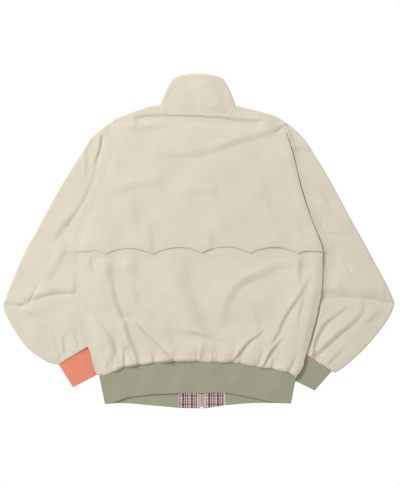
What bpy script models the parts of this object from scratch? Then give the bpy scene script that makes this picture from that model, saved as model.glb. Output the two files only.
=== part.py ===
"""Harrington jacket laid flat, back up: a zip-front blouson with a scalloped back yoke,
a stand collar, bent sleeves, and a knitted rib at the hem and the cuffs.

The origin is the middle of the jacket's outline on the surface it lies on. X points to the
right sleeve, Y to the collar and Z up. Sizes in this file are millimetres.
Every piece of cloth is a closed wall: a grid of outer points, the same grid moved in by the
wall's thickness, and the strips that join their edges.
"""
import math
from collections import namedtuple

import bpy
import numpy as np

MM = 0.001

# ---- driving sizes -------------------------------------------------------------------------
SHELL_WALL = 1.5            # cotton shell with its lining
RIB_WALL = 2.2              # double knit of the hem band
CUFF_WALL = 1.6
COLLAR_WALL = 2.6           # two layers and an interlining
TRIM_WALL = 1.0             # facing and zip tape
SEAM_GAP = 0.5              # between neighbours at a seam

BACK_LOFT = 2.3             # air between the front panels and the back
FRONT_WAVE = 0.5            # rise of the waves in the front panels
WAVE_X = 97.0               # and their lengths
WAVE_Y = 71.0
LEVEL_SPOT = (-120.0, 60.0, 60.0)   # middle and radius of a part of the front with no waves
YOKE_LIFT = 0.9             # air between the lower back and the yoke that covers it
TUCK_LIFT = 4.3             # how far the tucked forearms raise the body
TUCK_SLOPE = 60.0           # width over which the body comes down beside them
TUCK_MARGIN = 5.0           # how far inside the sleeves it starts to come down
TUCK_HEAD = 35.0            # the lift ends at these heights
TUCK_FOOT = -380.0

SLEEVE_HEIGHT = 7.0         # flattened sleeve in the open
SLEEVE_TUCKED = 3.6         # the same under the body's side
SLEEVE_AT_YOKE = 5.5        # the same under the yoke's edge
YOKE_RISE_FROM = 30.0       # where it starts to rise to that height
SLEEVE_SLOPE = 24.0         # width over which it comes out from under the body
END_TURNS = (-30, 30)       # points on the round edge of a flattened tube, in degrees
FOOT_COLUMNS = 4            # points across the underside of a flattened tube
FOOT_ARCH = 0.3             # rise of the underside between its edges, by turns once and twice
GROOVE_DEPTH = 2.6          # the elbow's fold, and the roll of cloth below it
GROOVE_WIDTH = 5.0
ROLL_HEIGHT = 1.6
ROLL_AT = 13.0
ROLL_WIDTH = 9.0
CUFF_HEIGHT = 4.6
CUFF_TUCKED = 3.3
CUFF_SLOPE = 16.0
RIB_RELIEF = 0.5            # how far a knit rib stands out
HEM_RIB_PITCH = 5.5
CUFF_RIB_PITCH = 5.0

HEM_BACK_FLOOR = 3.4        # underside of the back half of the hem band
HEM_WIDTH = 430.0           # of that half, between the rolls at its sides
ZIP_X = 6.4                 # middle of the zip
ZIP_TOP = 232.0
ZIP_FOOT = -385.0
CHAIN_WIDTH = 4.4
TAPE_WIDTH = 5.6
FACING_WIDTH = 40.0
FACING_TOP = -326.0
FACING_GAP = 0.4            # between it and the tab under it
CHAIN_HEIGHT = 2.0
TAPE_HEIGHT = 1.2

SCALLOP_PITCH = 112.0
SCALLOP_RISE = 14.0
SCALLOP_START = -217.0      # first point of the scalloped edge
SCALLOP_Y = -31.0           # height of those points
SCALLOP_STEPS = 6           # grid columns in one scallop
SIDE_ARC = 0.45             # rise of the arcs at the sides, as a share of the others
YOKE_OVERLAP = 46.0         # how far the lower back runs up under the yoke
YOKE_SETTLE = 1.0           # how far the yoke sinks above the lower back's end
SETTLE_FROM = 50.0          # where that starts, up the back and in from the sides
SETTLE_SIDE = 190.0
SETTLE_SLOPE = 80.0
FOLD_FADE = 24.0            # folds start this far from the yoke's edge

# ---- outlines, a row a point, from the hem up or from the shoulder down ----------------------
Edge = namedtuple("Edge", "x y")
SIDE = {                    # body below the underarm
    "left": [Edge(-233, -312), Edge(-240, -303), Edge(-248, -280), Edge(-256, -243),
             Edge(-263, -209), Edge(-274, -168), Edge(-278, -133), Edge(-284, -69),
             Edge(-288, -25)],
    "right": [Edge(226, -313), Edge(234, -305), Edge(244, -289), Edge(250, -263),
              Edge(256, -248), Edge(266, -210), Edge(276, -169), Edge(281, -134),
              Edge(287, -104), Edge(288, -69), Edge(289, -25)],
}
ARMHOLE = {                 # from the underarm up to the shoulder
    "left": [Edge(-288, -25), Edge(-275, 21), Edge(-260, 67), Edge(-247, 103),
             Edge(-233, 136), Edge(-222, 162), Edge(-210, 188), Edge(-202, 215),
             Edge(-203, 245), Edge(-209, 267)],
    "right": [Edge(289, -25), Edge(286, -6), Edge(267, 35), Edge(247, 88), Edge(235, 141),
              Edge(226, 187), Edge(218, 217), Edge(213, 260)],
}
SHOULDER = {                # from the armhole to the neck
    "left": [Edge(-209, 267), Edge(-197, 278), Edge(-164, 292), Edge(-125, 304),
             Edge(-107, 306), Edge(-92, 306)],
    "right": [Edge(213, 260), Edge(194, 278), Edge(164, 292), Edge(137, 299),
              Edge(116, 304), Edge(91, 306)],
}
NECK_SEAM = [Edge(-88, 307), Edge(-70, 294), Edge(-43, 288), Edge(-1, 286), Edge(43, 283),
             Edge(68, 291), Edge(87, 307)]
FRONT_NECK = [Edge(5, 234), Edge(30, 240), Edge(57, 258), Edge(75, 283), Edge(84, 301),
              Edge(88, 306)]

# ---- sleeves: a row a section, from the armhole to the cuff ----------------------------------
Section = namedtuple("Section", "inner_x inner_y outer_x outer_y")
SLEEVE = {
    "left": [
        Section(-240, -45, -187, 277), Section(-243, -50, -207, 268),
        Section(-245.5, -56, -228, 253), Section(-247, -62, -247, 237),
        Section(-248, -69, -266, 207), Section(-249, -76, -290, 170),
        Section(-249, -83, -313, 133), Section(-249, -90, -334, 97),
        Section(-249, -97, -354, 60), Section(-249, -104, -375, 21),
        Section(-249, -111, -398, -20), Section(-249, -117, -420, -70),
        Section(-248, -123, -436, -108), Section(-248, -127.5, -445, -132),
        Section(-247, -131, -450, -147), Section(-246.5, -135, -448, -158),
        Section(-246, -140, -440, -177), Section(-244, -153, -420, -211),
        Section(-241, -175, -394, -246), Section(-239.5, -198, -368, -266),
        Section(-241.5, -218, -344, -280), Section(-244.3, -234.5, -327.3, -284.6)],
    "right": [
        Section(240, -45, 187, 276), Section(243, -50, 206, 262),
        Section(245.5, -56, 226, 247), Section(247, -62, 245, 229),
        Section(248, -69, 268, 196), Section(249, -76, 290, 160),
        Section(249, -83, 312, 121), Section(249, -90, 332, 84),
        Section(249, -97, 352, 46), Section(249, -104, 375, 6),
        Section(249, -111, 398, -37), Section(249, -117, 420, -77),
        Section(248, -123, 438, -112), Section(248, -127.5, 446, -131),
        Section(247, -131, 450, -143), Section(246.5, -135, 447, -156),
        Section(246, -140, 438, -175), Section(244, -153, 418, -204),
        Section(241, -175, 390, -238), Section(236, -205, 360, -268),
        Section(231, -230, 333, -291), Section(228.3, -247.5, 315.3, -302.6)],
}
CUFF = {                    # a row an end: at the sleeve, at the wrist
    "left": [Section(-244, -235, -323, -283), Section(-215, -293, -291, -333)],
    "right": [Section(228, -248, 307, -298), Section(192, -305, 268, -342)],
}
# where the tucked sleeve and cuff end under the body
TUCK = {
    "left": [Edge(-215, -320), Edge(-215, -293), Edge(-244, -235), Edge(-238, -205),
             Edge(-241, -175), Edge(-247, -131), Edge(-249, -80), Edge(-240, -45)],
    "right": [Edge(192, -320), Edge(192, -305), Edge(228, -248), Edge(233, -209),
              Edge(241, -175), Edge(247, -131), Edge(249, -80), Edge(240, -45)],
}

# ---- hem band: a row a station across the body -----------------------------------------------
Band = namedtuple("Band", "x_top y_top x_foot y_foot")
HEM_BACK = [
    Band(-229, -307, -211, -375), Band(-197, -297, -197, -372), Band(-165, -287, -165, -361),
    Band(-120, -282, -118, -354.5), Band(-60, -277, -58, -351), Band(0, -275, 0, -350),
    Band(60, -276, 60, -350), Band(114, -282, 112, -358), Band(156, -290, 152, -367),
    Band(196, -299, 186, -373), Band(222, -308, 207, -374)]
HEM_FRONT = {
    "left": [Band(-229, -307, -211, -375), Band(-190, -306, -188, -373),
             Band(-110, -310, -110, -378), Band(-47, -317, -46, -384)],
    "right": [Band(222, -308, 207, -374), Band(185, -306, 183, -373),
              Band(120, -306, 120, -373), Band(60, -312, 60, -378)],
}

# pinches of the gathers above the hem band: place, reach up the back, depth
Pinch = namedtuple("Pinch", "x y reach depth")
PINCHES = [
    Pinch(-231, -311, 20, 0.6), Pinch(-215, -307, 24, 1.0), Pinch(-197, -301, 30, 1.2),
    Pinch(-172, -289, 45, 1.6), Pinch(-137, -284, 26, 1.0), Pinch(-100, -279, 24, 1.4),
    Pinch(-58, -276, 34, 1.2), Pinch(-3, -276, 32, 1.4), Pinch(12, -277, 18, 0.8),
    Pinch(40, -278, 26, 1.0), Pinch(77, -278, 30, 1.0), Pinch(95, -280, 22, 0.8),
    Pinch(132, -288, 28, 1.4), Pinch(169, -292, 30, 1.2), Pinch(207, -302, 28, 1.2),
    Pinch(226, -313, 20, 0.6)]
PUFF = 2.2                  # rise of the cloth between two pinches
GATHER_STEP = 15.0          # grid columns between pinches are about this wide
GATHER_SAG = 3.0            # how far the cloth hangs over the band between pinches
OVER_RIB = 3.2              # rise of the back where it comes over the band
RIB_FADE = 38.0
BACK_ROLL = 3.0             # reach and drop of the roll at the sides
BACK_DROP = 3.6

# ---- folds: three points along the fold, its height at each, and its half width --------------
Fold = namedtuple("Fold", "x0 y0 x1 y1 x2 y2 h0 h1 h2 width")
BACK_FOLDS = [
    Fold(-196, -46, -189, -136, -158, -200, 3.5, 2.6, 1.2, 13),
    Fold(-158, -190, -147, -240, -137, -276, 1.6, 2.8, 1.8, 11),
    Fold(-160, -160, -118, -222, -62, -272, 0.4, 2.6, 1.6, 13),
    Fold(-263, -140, -222, -200, -199, -262, 1.2, 2.2, 1.4, 15),
    Fold(150, -205, 112, -250, 84, -272, 1.0, 3.0, 1.6, 13),
    Fold(262, -92, 214, -160, 182, -222, 0.8, 3.4, 2.0, 14),
    Fold(190, -218, 176, -248, 151, -286, 1.6, 3.0, 1.8, 12),
    Fold(200, -58, 118, -88, 70, -172, 1.0, 2.4, 0.8, 17),
    Fold(229, -50, 226, -70, 222, -92, 2.0, 1.4, 0.4, 9),
    Fold(-20, -80, -14, -140, -22, -230, 0.4, 1.4, 1.0, 26),
]
YOKE_FOLDS = [
    Fold(-176, 236, -120, 250, -60, 262, 1.4, 2.0, 0.6, 15),
    Fold(-100, 196, 20, 196, 160, 250, 0.8, 1.8, 1.8, 20),
    Fold(-196, 120, -140, 128, -80, 140, 1.2, 1.6, 0.4, 18),
    Fold(-130, 296, -60, 272, 60, 268, 0.8, 1.4, 1.4, 9),
]
ELBOW = {                   # the sleeve folds on itself along this line
    "left": [Edge(-278, -122), Edge(-340, -126), Edge(-450, -147)],
    "right": [Edge(285, -131), Edge(355, -132), Edge(450, -143)],
}
SLEEVE_FOLDS = {
    "left": [
        Fold(-245, 117, -290, 50, -330, -30, 0.8, 1.8, 1.2, 14),
        Fold(-226, 232, -240, 214, -244, 196, 1.6, 1.4, 0.6, 9),
        Fold(-261, 186, -290, 140, -314, 106, 0.6, 1.4, 0.8, 12),
        Fold(-300, -268, -330, -225, -350, -190, 1.6, 1.6, 0.6, 11),
        Fold(-272, -240, -296, -200, -330, -160, 1.2, 1.4, 0.6, 12)],
    "right": [
        Fold(226, 238, 246, 212, 254, 196, 1.6, 1.6, 0.6, 9),
        Fold(298, 30, 326, 8, 350, -6, 0.6, 1.4, 0.6, 12),
        Fold(268, -245, 284, -212, 314, -177, 1.4, 1.8, 0.6, 11),
        Fold(287, -252, 330, -222, 383, -150, 1.4, 1.8, 0.8, 12)],
}

COLOURS = {                 # colour, roughness
    "shell": ((0.72, 0.66, 0.54, 1.0), 0.85),
    "sage_rib": ((0.34, 0.33, 0.25, 1.0), 0.9),
    "coral_rib": ((0.78, 0.28, 0.17, 1.0), 0.9),
    "check": ((0.62, 0.40, 0.34, 1.0), 0.85),
    "tape": ((0.60, 0.44, 0.36, 1.0), 0.8),
    "chain": ((0.55, 0.45, 0.36, 1.0), 0.5),
}


# ---- numbers ---------------------------------------------------------------------------------
def ease(t):
    """0 below 0, 1 above 1, and a smooth slope between."""
    t = np.clip(t, 0.0, 1.0)
    return t * t * (3.0 - 2.0 * t)


def along(points, fractions):
    """Points of a polyline at fractions of its length."""
    p = np.asarray(points, float)
    run = np.r_[0.0, np.cumsum(np.linalg.norm(np.diff(p, axis=0), axis=1))]
    at = np.asarray(fractions) * run[-1]
    return np.stack([np.interp(at, run, p[:, k]) for k in range(p.shape[1])], axis=-1)


def curve(points, fractions):
    """Points of a smooth curve through the given points, at fractions of its length."""
    p = np.asarray(points, float)
    run = np.r_[0.0, np.cumsum(np.linalg.norm(np.diff(p, axis=0), axis=1))]
    slope = np.gradient(p, run, axis=0)
    at = np.asarray(fractions) * run[-1]
    i = np.clip(np.searchsorted(run, at, side="right") - 1, 0, len(p) - 2)
    h = (run[i + 1] - run[i])[:, None]
    t = (at - run[i])[:, None] / h
    return ((2 * t**3 - 3 * t**2 + 1) * p[i] + (t**3 - 2 * t**2 + t) * h * slope[i]
            + (3 * t**2 - 2 * t**3) * p[i + 1] + (t**3 - t**2) * h * slope[i + 1])


def x_at(points, y):
    """x of an outline at a height y."""
    rows = sorted((p.y, p.x) for p in points)
    return np.interp(y, [r[0] for r in rows], [r[1] for r in rows])


def patch(left, right, foot, head):
    """Grid of plan points that fills four edges (rows from foot to head)."""
    v = np.linspace(0, 1, len(left))[:, None, None]
    u = np.linspace(0, 1, len(foot))[None, :, None]
    sides = left[:, None] * (1 - u) + right[:, None] * u
    ends = foot[None] * (1 - v) + head[None] * v
    corners = (foot[0] * (1 - u) * (1 - v) + foot[-1] * u * (1 - v)
               + head[0] * (1 - u) * v + head[-1] * u * v)
    return sides + ends - corners


def inset(points, distance):
    """A plan curve moved to its left by a distance."""
    p = np.asarray(points, float)
    step = np.gradient(p, axis=0)
    step /= np.linalg.norm(step, axis=1)[:, None]
    return p + distance * np.stack([-step[:, 1], step[:, 0]], axis=-1)


# ---- heights ---------------------------------------------------------------------------------
def fold_height(table, x, y):
    """Sum of the folds' heights at plan points."""
    total = np.zeros_like(x)
    for f in table:
        ends = [(f.x0, f.y0, f.h0), (f.x1, f.y1, f.h1), (f.x2, f.y2, f.h2)]
        best = np.zeros_like(x)
        for (xa, ya, ha), (xb, yb, hb) in zip(ends, ends[1:]):
            dx, dy = xb - xa, yb - ya
            s = np.clip(((x - xa) * dx + (y - ya) * dy) / (dx * dx + dy * dy), 0, 1)
            away = np.hypot(x - xa - s * dx, y - ya - s * dy)
            best = np.maximum(best, (ha + (hb - ha) * s) * np.exp(-(away / f.width) ** 2))
        total += best
    return total


def line_distance(points, x, y):
    """Distance from plan points to a polyline."""
    best = np.full_like(x, 1e9)
    for a, b in zip(points, points[1:]):
        dx, dy = b.x - a.x, b.y - a.y
        s = np.clip(((x - a.x) * dx + (y - a.y) * dy) / (dx * dx + dy * dy), 0, 1)
        best = np.minimum(best, np.hypot(x - a.x - s * dx, y - a.y - s * dy))
    return best


def body_lift(x, y):
    """How far the sleeves and cuffs under the body's sides raise it."""
    side = np.where(x < 0, -x_at(TUCK["left"], y), x_at(TUCK["right"], y))
    across = ease((np.abs(x) - side + TUCK_SLOPE + TUCK_MARGIN) / TUCK_SLOPE)
    return (TUCK_LIFT * across * ease((TUCK_HEAD - y) / TUCK_SLOPE)
            * ease((y - TUCK_FOOT) / TUCK_SLOPE))


def back_top(x, y):
    """Upper face of the lower back, without its gathers."""
    below_yoke = ease((SCALLOP_Y - 2.0 - y) / FOLD_FADE)
    level = SHELL_WALL + BACK_LOFT + SHELL_WALL
    return body_lift(x, y) + level + below_yoke * fold_height(BACK_FOLDS, x, y)


def yoke_top(x, y):
    """Upper face of the yoke."""
    level = 3 * SHELL_WALL + BACK_LOFT + YOKE_LIFT
    above = ease((y - SETTLE_FROM) / TUCK_SLOPE)
    middle = ease((SETTLE_SIDE - np.abs(x)) / SETTLE_SLOPE)
    raised = ease((y - SCALLOP_Y - FOLD_FADE) / FOLD_FADE) * fold_height(YOKE_FOLDS, x, y)
    return body_lift(x, y) + level - YOKE_SETTLE * above * middle + raised


def outside(side, x, y):
    """Distance of plan points beyond the armhole and the body's side."""
    edge = ARMHOLE[side] + SIDE[side][:-1]
    sign = -1.0 if side == "left" else 1.0
    return sign * (x - x_at(edge, y))


def sleeve_top(side, x, y):
    """Upper face of a sleeve."""
    rise = SLEEVE_AT_YOKE - SLEEVE_TUCKED
    tucked = SLEEVE_TUCKED + rise * ease((y - YOKE_RISE_FROM) / TUCK_SLOPE)
    free = ease((outside(side, x, y) - 2.0) / SLEEVE_SLOPE)
    line = sorted(ELBOW[side])
    below = np.interp(x, [p.x for p in line], [p.y for p in line]) - y
    groove = -GROOVE_DEPTH * np.exp(-(line_distance(line, x, y) / GROOVE_WIDTH) ** 2)
    roll = ROLL_HEIGHT * np.exp(-((below - ROLL_AT) / ROLL_WIDTH) ** 2)
    shape = SLEEVE_HEIGHT - tucked + fold_height(SLEEVE_FOLDS[side], x, y) + groove + roll
    return np.maximum(tucked + free * shape, SLEEVE_TUCKED)


# ---- walls -----------------------------------------------------------------------------------
def normals(grid, closed):
    """Unit normals of a grid of points; its columns may close on themselves."""
    if closed:
        ring = np.concatenate([grid[:, -1:], grid, grid[:, :1]], axis=1)
        across = (ring[:, 2:] - ring[:, :-2]) / 2
    else:
        across = np.gradient(grid, axis=1)
    up = np.gradient(grid, axis=0)
    n = np.cross(across, up)
    return n / np.linalg.norm(n, axis=-1)[..., None]


def wall(name, outer, inner, closed, colour):
    """One closed solid between an outer and an inner grid of points."""
    rows, cols = outer.shape[:2]
    points = np.concatenate([outer.reshape(-1, 3), inner.reshape(-1, 3)]) * MM
    back = rows * cols

    def at(r, c, layer):
        return layer * back + r * cols + c % cols

    faces = []
    spans = cols if closed else cols - 1
    for r in range(rows - 1):
        for c in range(spans):
            faces.append((at(r, c, 0), at(r, c + 1, 0), at(r + 1, c + 1, 0), at(r + 1, c, 0)))
            faces.append((at(r, c, 1), at(r + 1, c, 1), at(r + 1, c + 1, 1), at(r, c + 1, 1)))
    for c in range(spans):
        faces.append((at(0, c, 0), at(0, c, 1), at(0, c + 1, 1), at(0, c + 1, 0)))
        last = rows - 1
        faces.append((at(last, c, 0), at(last, c + 1, 0), at(last, c + 1, 1), at(last, c, 1)))
    if not closed:
        for r in range(rows - 1):
            faces.append((at(r, 0, 0), at(r + 1, 0, 0), at(r + 1, 0, 1), at(r, 0, 1)))
            end = cols - 1
            faces.append((at(r, end, 0), at(r, end, 1), at(r + 1, end, 1), at(r + 1, end, 0)))

    mesh = bpy.data.meshes.new(name)
    mesh.from_pydata(points.tolist(), [], faces)
    mesh.shade_smooth()
    mesh.set_sharp_from_angle(angle=math.radians(50))
    mesh.materials.append(material(colour))
    item = bpy.data.objects.new(name, mesh)
    bpy.context.scene.collection.objects.link(item)
    return item


def panel(name, plan, height, thickness, colour):
    """A sheet of cloth over plan points."""
    grid = np.dstack([plan, height])
    return wall(name, grid, grid - thickness * normals(grid, False), False, colour)


def roll_sides(grid, reach, drop):
    """Three more columns at each side, round and down; drop is a number a row."""
    def roll(edge, before):
        out = edge - before
        out[:, 2] = 0.0
        out /= np.linalg.norm(out, axis=1)[:, None]
        turned = []
        for angle in (30, 60, 90):
            a = math.radians(angle)
            point = edge + reach * math.sin(a) * out
            point[:, 2] -= drop * (1 - math.cos(a))
            turned.append(point[:, None])
        return turned
    left = roll(grid[:, 0], grid[:, 1])
    right = roll(grid[:, -1], grid[:, -2])
    return np.concatenate(left[::-1] + [grid] + right, axis=1)


def material(name):
    """The plain colour of a piece."""
    found = bpy.data.materials.get(name)
    if found:
        return found
    made = bpy.data.materials.new(name)
    made.use_nodes = True
    colour, roughness = COLOURS[name]
    shader = made.node_tree.nodes["Principled BSDF"]
    shader.inputs["Base Color"].default_value = colour
    shader.inputs["Roughness"].default_value = roughness
    shader.inputs["Metallic"].default_value = 0.0
    return made


# ---- yoke and back ---------------------------------------------------------------------------
def scallop_y(x):
    """Lower edge of the yoke: arcs between points that hang down, flatter at the sides."""
    t = (x - SCALLOP_START) / SCALLOP_PITCH
    arc = 4.0 * (t % 1.0) * (1.0 - t % 1.0)
    full = ease((x - SCALLOP_START + 40.0) / 20.0) * ease((270.0 - x) / 30.0)
    return SCALLOP_Y + SCALLOP_RISE * arc * (SIDE_ARC + (1 - SIDE_ARC) * full)


def neck_y(x):
    """Neck seam on the back."""
    seam = curve(NECK_SEAM, np.linspace(0, 1, 40))
    return np.interp(x, seam[:, 0], seam[:, 1])


NECK_HALF = 84.0            # half of the neck's width
NECK_TUCK = 5.0             # how far the yoke runs on under the collar
NECK_DIP = 2.6              # how far it sinks there
SHOULDER_ROLL = 4.0         # reach and drop of the roll at the shoulder
SHOULDER_DROP = 4.6


def yoke():
    step = SCALLOP_PITCH / SCALLOP_STEPS
    first, last = -4, 5 * SCALLOP_STEPS - 3
    x = SCALLOP_START + step * np.arange(first, last + 1)
    x[0], x[-1] = SIDE["left"][-1].x, SIDE["right"][-1].x
    foot = np.stack([x, scallop_y(x)], axis=-1)

    levels = np.r_[0.0, 0.025, 0.07, np.linspace(0.13, 1.0, 11)]
    left = along(ARMHOLE["left"], levels)
    right = along(ARMHOLE["right"], levels)
    left[0], right[0] = foot[0], foot[-1]

    # the top edge: shoulder, neck, shoulder; the neck part runs on under the collar
    shoulder_columns = 9
    neck_x = np.linspace(-NECK_HALF, NECK_HALF - 1.0, len(x) - 2 * shoulder_columns)
    under = -2.0 + (2.0 + NECK_TUCK) * ease((NECK_HALF - 8.0 - np.abs(neck_x)) / 14.0)
    neck = np.stack([neck_x, neck_y(neck_x) + under], axis=-1)
    to_neck = np.linspace(0, 1, shoulder_columns)
    shoulder_left = inset(along(SHOULDER["left"], to_neck), -SHOULDER_ROLL)
    shoulder_right = inset(along(SHOULDER["right"], to_neck), SHOULDER_ROLL)[::-1]
    head = np.concatenate([shoulder_left, neck, shoulder_right])
    left[-1], right[-1] = head[0], head[-1]

    plan = patch(left, right, foot, head)
    px, py = plan[..., 0], plan[..., 1]
    seam = np.where(np.abs(px) < NECK_HALF, neck_y(px) - py, 100.0)
    height = yoke_top(px, py) - NECK_DIP * ease(1 - (seam + NECK_TUCK) / 18.0)
    grid = np.dstack([px, py, height])

    # the shoulders roll down to the front, and the neck part stays level
    wide = np.abs(head[:, 0])
    rolls = ease((wide - NECK_HALF + 2.0) / 8.0) * ease((208.0 - wide) / 14.0)
    out = grid[-1] - grid[-2]
    out[:, 2] = 0.0
    out /= np.linalg.norm(out, axis=1)[:, None]
    rows = [grid]
    for angle in (35, 65, 90):
        a = math.radians(angle)
        reach = SHOULDER_ROLL * math.sin(a) * (0.15 + 0.85 * rolls)
        row = grid[-1] + reach[:, None] * out
        row[:, 2] -= SHOULDER_DROP * (1 - math.cos(a)) * rolls
        rows.append(row[None])
    grid = np.concatenate(rows)
    return wall("back_yoke", grid, grid - SHELL_WALL * normals(grid, False), False, "shell")


def pinch_columns():
    """Plan points of the back's lower edge, and how far each is from the nearest pinch."""
    x, y, swell, reach, depth = [], [], [], [], []
    for a, b in zip(PINCHES, PINCHES[1:]):
        count = max(2, round((b.x - a.x) / GATHER_STEP))
        for k in range(count):
            t = k / count
            between = math.sin(math.pi * t) ** 2
            x.append(a.x + (b.x - a.x) * t)
            y.append(a.y + (b.y - a.y) * t - GATHER_SAG * between)
            swell.append(between)
            reach.append(a.reach + (b.reach - a.reach) * t)
            depth.append(a.depth + (b.depth - a.depth) * t)
    end = PINCHES[-1]
    for row, value in zip((x, y, swell, reach, depth), (end.x, end.y, 0.0, end.reach, end.depth)):
        row.append(value)
    return (np.array(v) for v in (x, y, swell, reach, depth))


def lower_back():
    x, y, swell, reach, depth = pinch_columns()
    foot = np.stack([x, y], axis=-1)
    foot[0, 0] += BACK_ROLL
    foot[-1, 0] -= BACK_ROLL

    levels = np.r_[0.0, 0.025, 0.06, 0.105, np.linspace(0.16, 1.0, 14)]
    top_y = SCALLOP_Y + YOKE_OVERLAP
    arm_left = [Edge(-285, -22), Edge(-270, top_y)]
    arm_right = [Edge(286, -22), Edge(270, top_y)]
    left = inset(along(SIDE["left"][:-1] + arm_left, levels), -BACK_ROLL)
    right = inset(along(SIDE["right"][:-1] + arm_right, levels), BACK_ROLL)
    left[0], right[0] = foot[0], foot[-1]
    share = (x - x[0]) / (x[-1] - x[0])
    head = along([left[-1], right[-1]], share)

    plan = patch(left, right, foot, head)
    px, py = plan[..., 0], plan[..., 1]
    up = np.linalg.norm(plan - plan[:1], axis=-1)
    over_rib = OVER_RIB * ease(1 - up / RIB_FADE)
    pinch = depth * (1 - swell) * ease((up - 4.0) / 8.0)
    gathers = ((PUFF + depth) * swell - pinch) * np.exp(-up / reach)
    height = back_top(px, py) + over_rib + gathers
    height[0] -= 0.9 * swell
    # above the underarm the side lies under the yoke and stays level
    drop = BACK_DROP * ease((-16.0 - py[:, 0]) / FOLD_FADE)
    grid = roll_sides(np.dstack([px, py, height]), BACK_ROLL, drop)
    return wall("back_panel", grid, grid - SHELL_WALL * normals(grid, False), False, "shell")


# ---- fronts ----------------------------------------------------------------------------------
def hem_seam(x_name, y_name, table, fractions):
    """Points along one edge of the hem band."""
    rows = [(getattr(b, x_name), getattr(b, y_name)) for b in table]
    return curve(rows, fractions)


def zip_edge(side):
    """x of the edge beside the zip tape."""
    sign = -1.0 if side == "left" else 1.0
    return ZIP_X + sign * (CHAIN_WIDTH / 2 + TAPE_WIDTH + 2 * SEAM_GAP)


def front(side):
    sign = -1.0 if side == "left" else 1.0
    edge_x = zip_edge(side)
    foot = hem_seam("x_top", "y_top", HEM_FRONT[side], np.linspace(1, 0, 11))
    foot[:, 1] += 2 * SEAM_GAP
    foot[0, 0] = edge_x
    foot[-1, 0] = SIDE[side][0].x - sign * 6.0

    # outer edge: up the side, across under the arm, and up the armhole
    arm = SLEEVE[side][0]
    sides = [Edge(p.x - sign * 3.0, p.y) for p in SIDE[side][1:-1]]
    underarm = Edge(sign * 284, -34)
    arm_foot = Edge(arm.inner_x - sign * 1.0, arm.inner_y + 2)
    arm_head = Edge(arm.outer_x - sign * 1.2, arm.outer_y + 2)
    outer = np.concatenate([
        along([foot[-1]] + sides + [underarm], np.linspace(0, 1, 8)),
        along([underarm, arm_foot], [0.5]),
        along([arm_foot, arm_head], np.linspace(0, 1, 7))])
    throat = (edge_x, FRONT_NECK[0].y - 2 * SEAM_GAP)
    centre = along([foot[0], throat], np.linspace(0, 1, len(outer)))

    neck = [(sign * p.x, p.y) for p in FRONT_NECK]
    neck[0] = throat
    neckline = inset(curve(neck, np.linspace(0, 1, 7)), -sign * 2 * SEAM_GAP)
    neckline[0] = centre[-1]
    shoulder = [Edge(p.x, p.y - 3.0) for p in SHOULDER[side][2:-1]][::-1]
    shoulder = along(shoulder + [arm_head], np.linspace(0, 1, 4))
    head = np.concatenate([neckline, shoulder])
    outer[0], outer[-1] = foot[-1], head[-1]

    plan = patch(centre, outer, foot, head)
    if sign < 0:
        plan = plan[:, ::-1]
    x, y = plan[..., 0], plan[..., 1]
    level_x, level_y, radius = LEVEL_SPOT
    waves = np.sin(math.pi * x / WAVE_X) ** 2 * np.sin(math.pi * y / WAVE_Y) ** 2
    waves *= ease(np.hypot(x - level_x, y - level_y) / radius - 1.0)
    top = body_lift(x, y) + SHELL_WALL + FRONT_WAVE * waves
    return panel(f"front_{side}", plan, top, SHELL_WALL, "shell")


def strip(name, side, near_x, far, top_y, top, thickness, colour):
    """A short strip of cloth beside the zip, from the hem up to top_y."""
    foot = along([(near_x, ZIP_FOOT), far], np.linspace(0, 1, 4))
    head = along([(near_x, top_y), (far[0], top_y)], np.linspace(0, 1, 4))
    rows = np.linspace(0, 1, 4)
    plan = patch(along([foot[0], head[0]], rows), along([foot[-1], head[-1]], rows), foot, head)
    if side == "left":
        plan = plan[:, ::-1]
    return panel(name, plan, np.full(plan.shape[:2], top), thickness, colour)


def hem_tab(side):
    """The shell cloth between the end of the hem band and the zip."""
    near_x = zip_edge(side)
    band = HEM_FRONT[side][-1]
    far_x = band.x_foot + (SEAM_GAP if side == "left" else -SEAM_GAP) * 2
    top_y = band.y_top - SEAM_GAP
    return strip(f"hem_tab_{side}", side, near_x, (far_x, band.y_foot), top_y, SHELL_WALL,
                 SHELL_WALL, "shell")


def facing(side):
    """The strip of lining inside the front edge, where the back leaves it in view."""
    sign = -1.0 if side == "left" else 1.0
    near_x = zip_edge(side)
    far = (near_x + sign * FACING_WIDTH, HEM_FRONT[side][-1].y_foot)
    top = SHELL_WALL + FACING_GAP + TRIM_WALL
    return strip(f"facing_{side}", side, near_x, far, FACING_TOP, top, TRIM_WALL, "check")


def zip_strip(name, x0, x1, top, colour):
    """A flat strip the length of the zip."""
    rows = np.linspace(ZIP_FOOT, ZIP_TOP, 5)
    x = np.linspace(x0, x1, 2)
    plan = np.stack(np.meshgrid(x, rows), axis=-1)
    return panel(name, plan, np.full(plan.shape[:2], top), top, colour)


def zip_fastening():
    half = CHAIN_WIDTH / 2
    zip_strip("zip_chain", ZIP_X - half, ZIP_X + half, CHAIN_HEIGHT, "chain")
    near = half + SEAM_GAP
    far = near + TAPE_WIDTH
    zip_strip("zip_tape_left", ZIP_X - far, ZIP_X - near, TAPE_HEIGHT, "tape")
    zip_strip("zip_tape_right", ZIP_X + near, ZIP_X + far, TAPE_HEIGHT, "tape")


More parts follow.
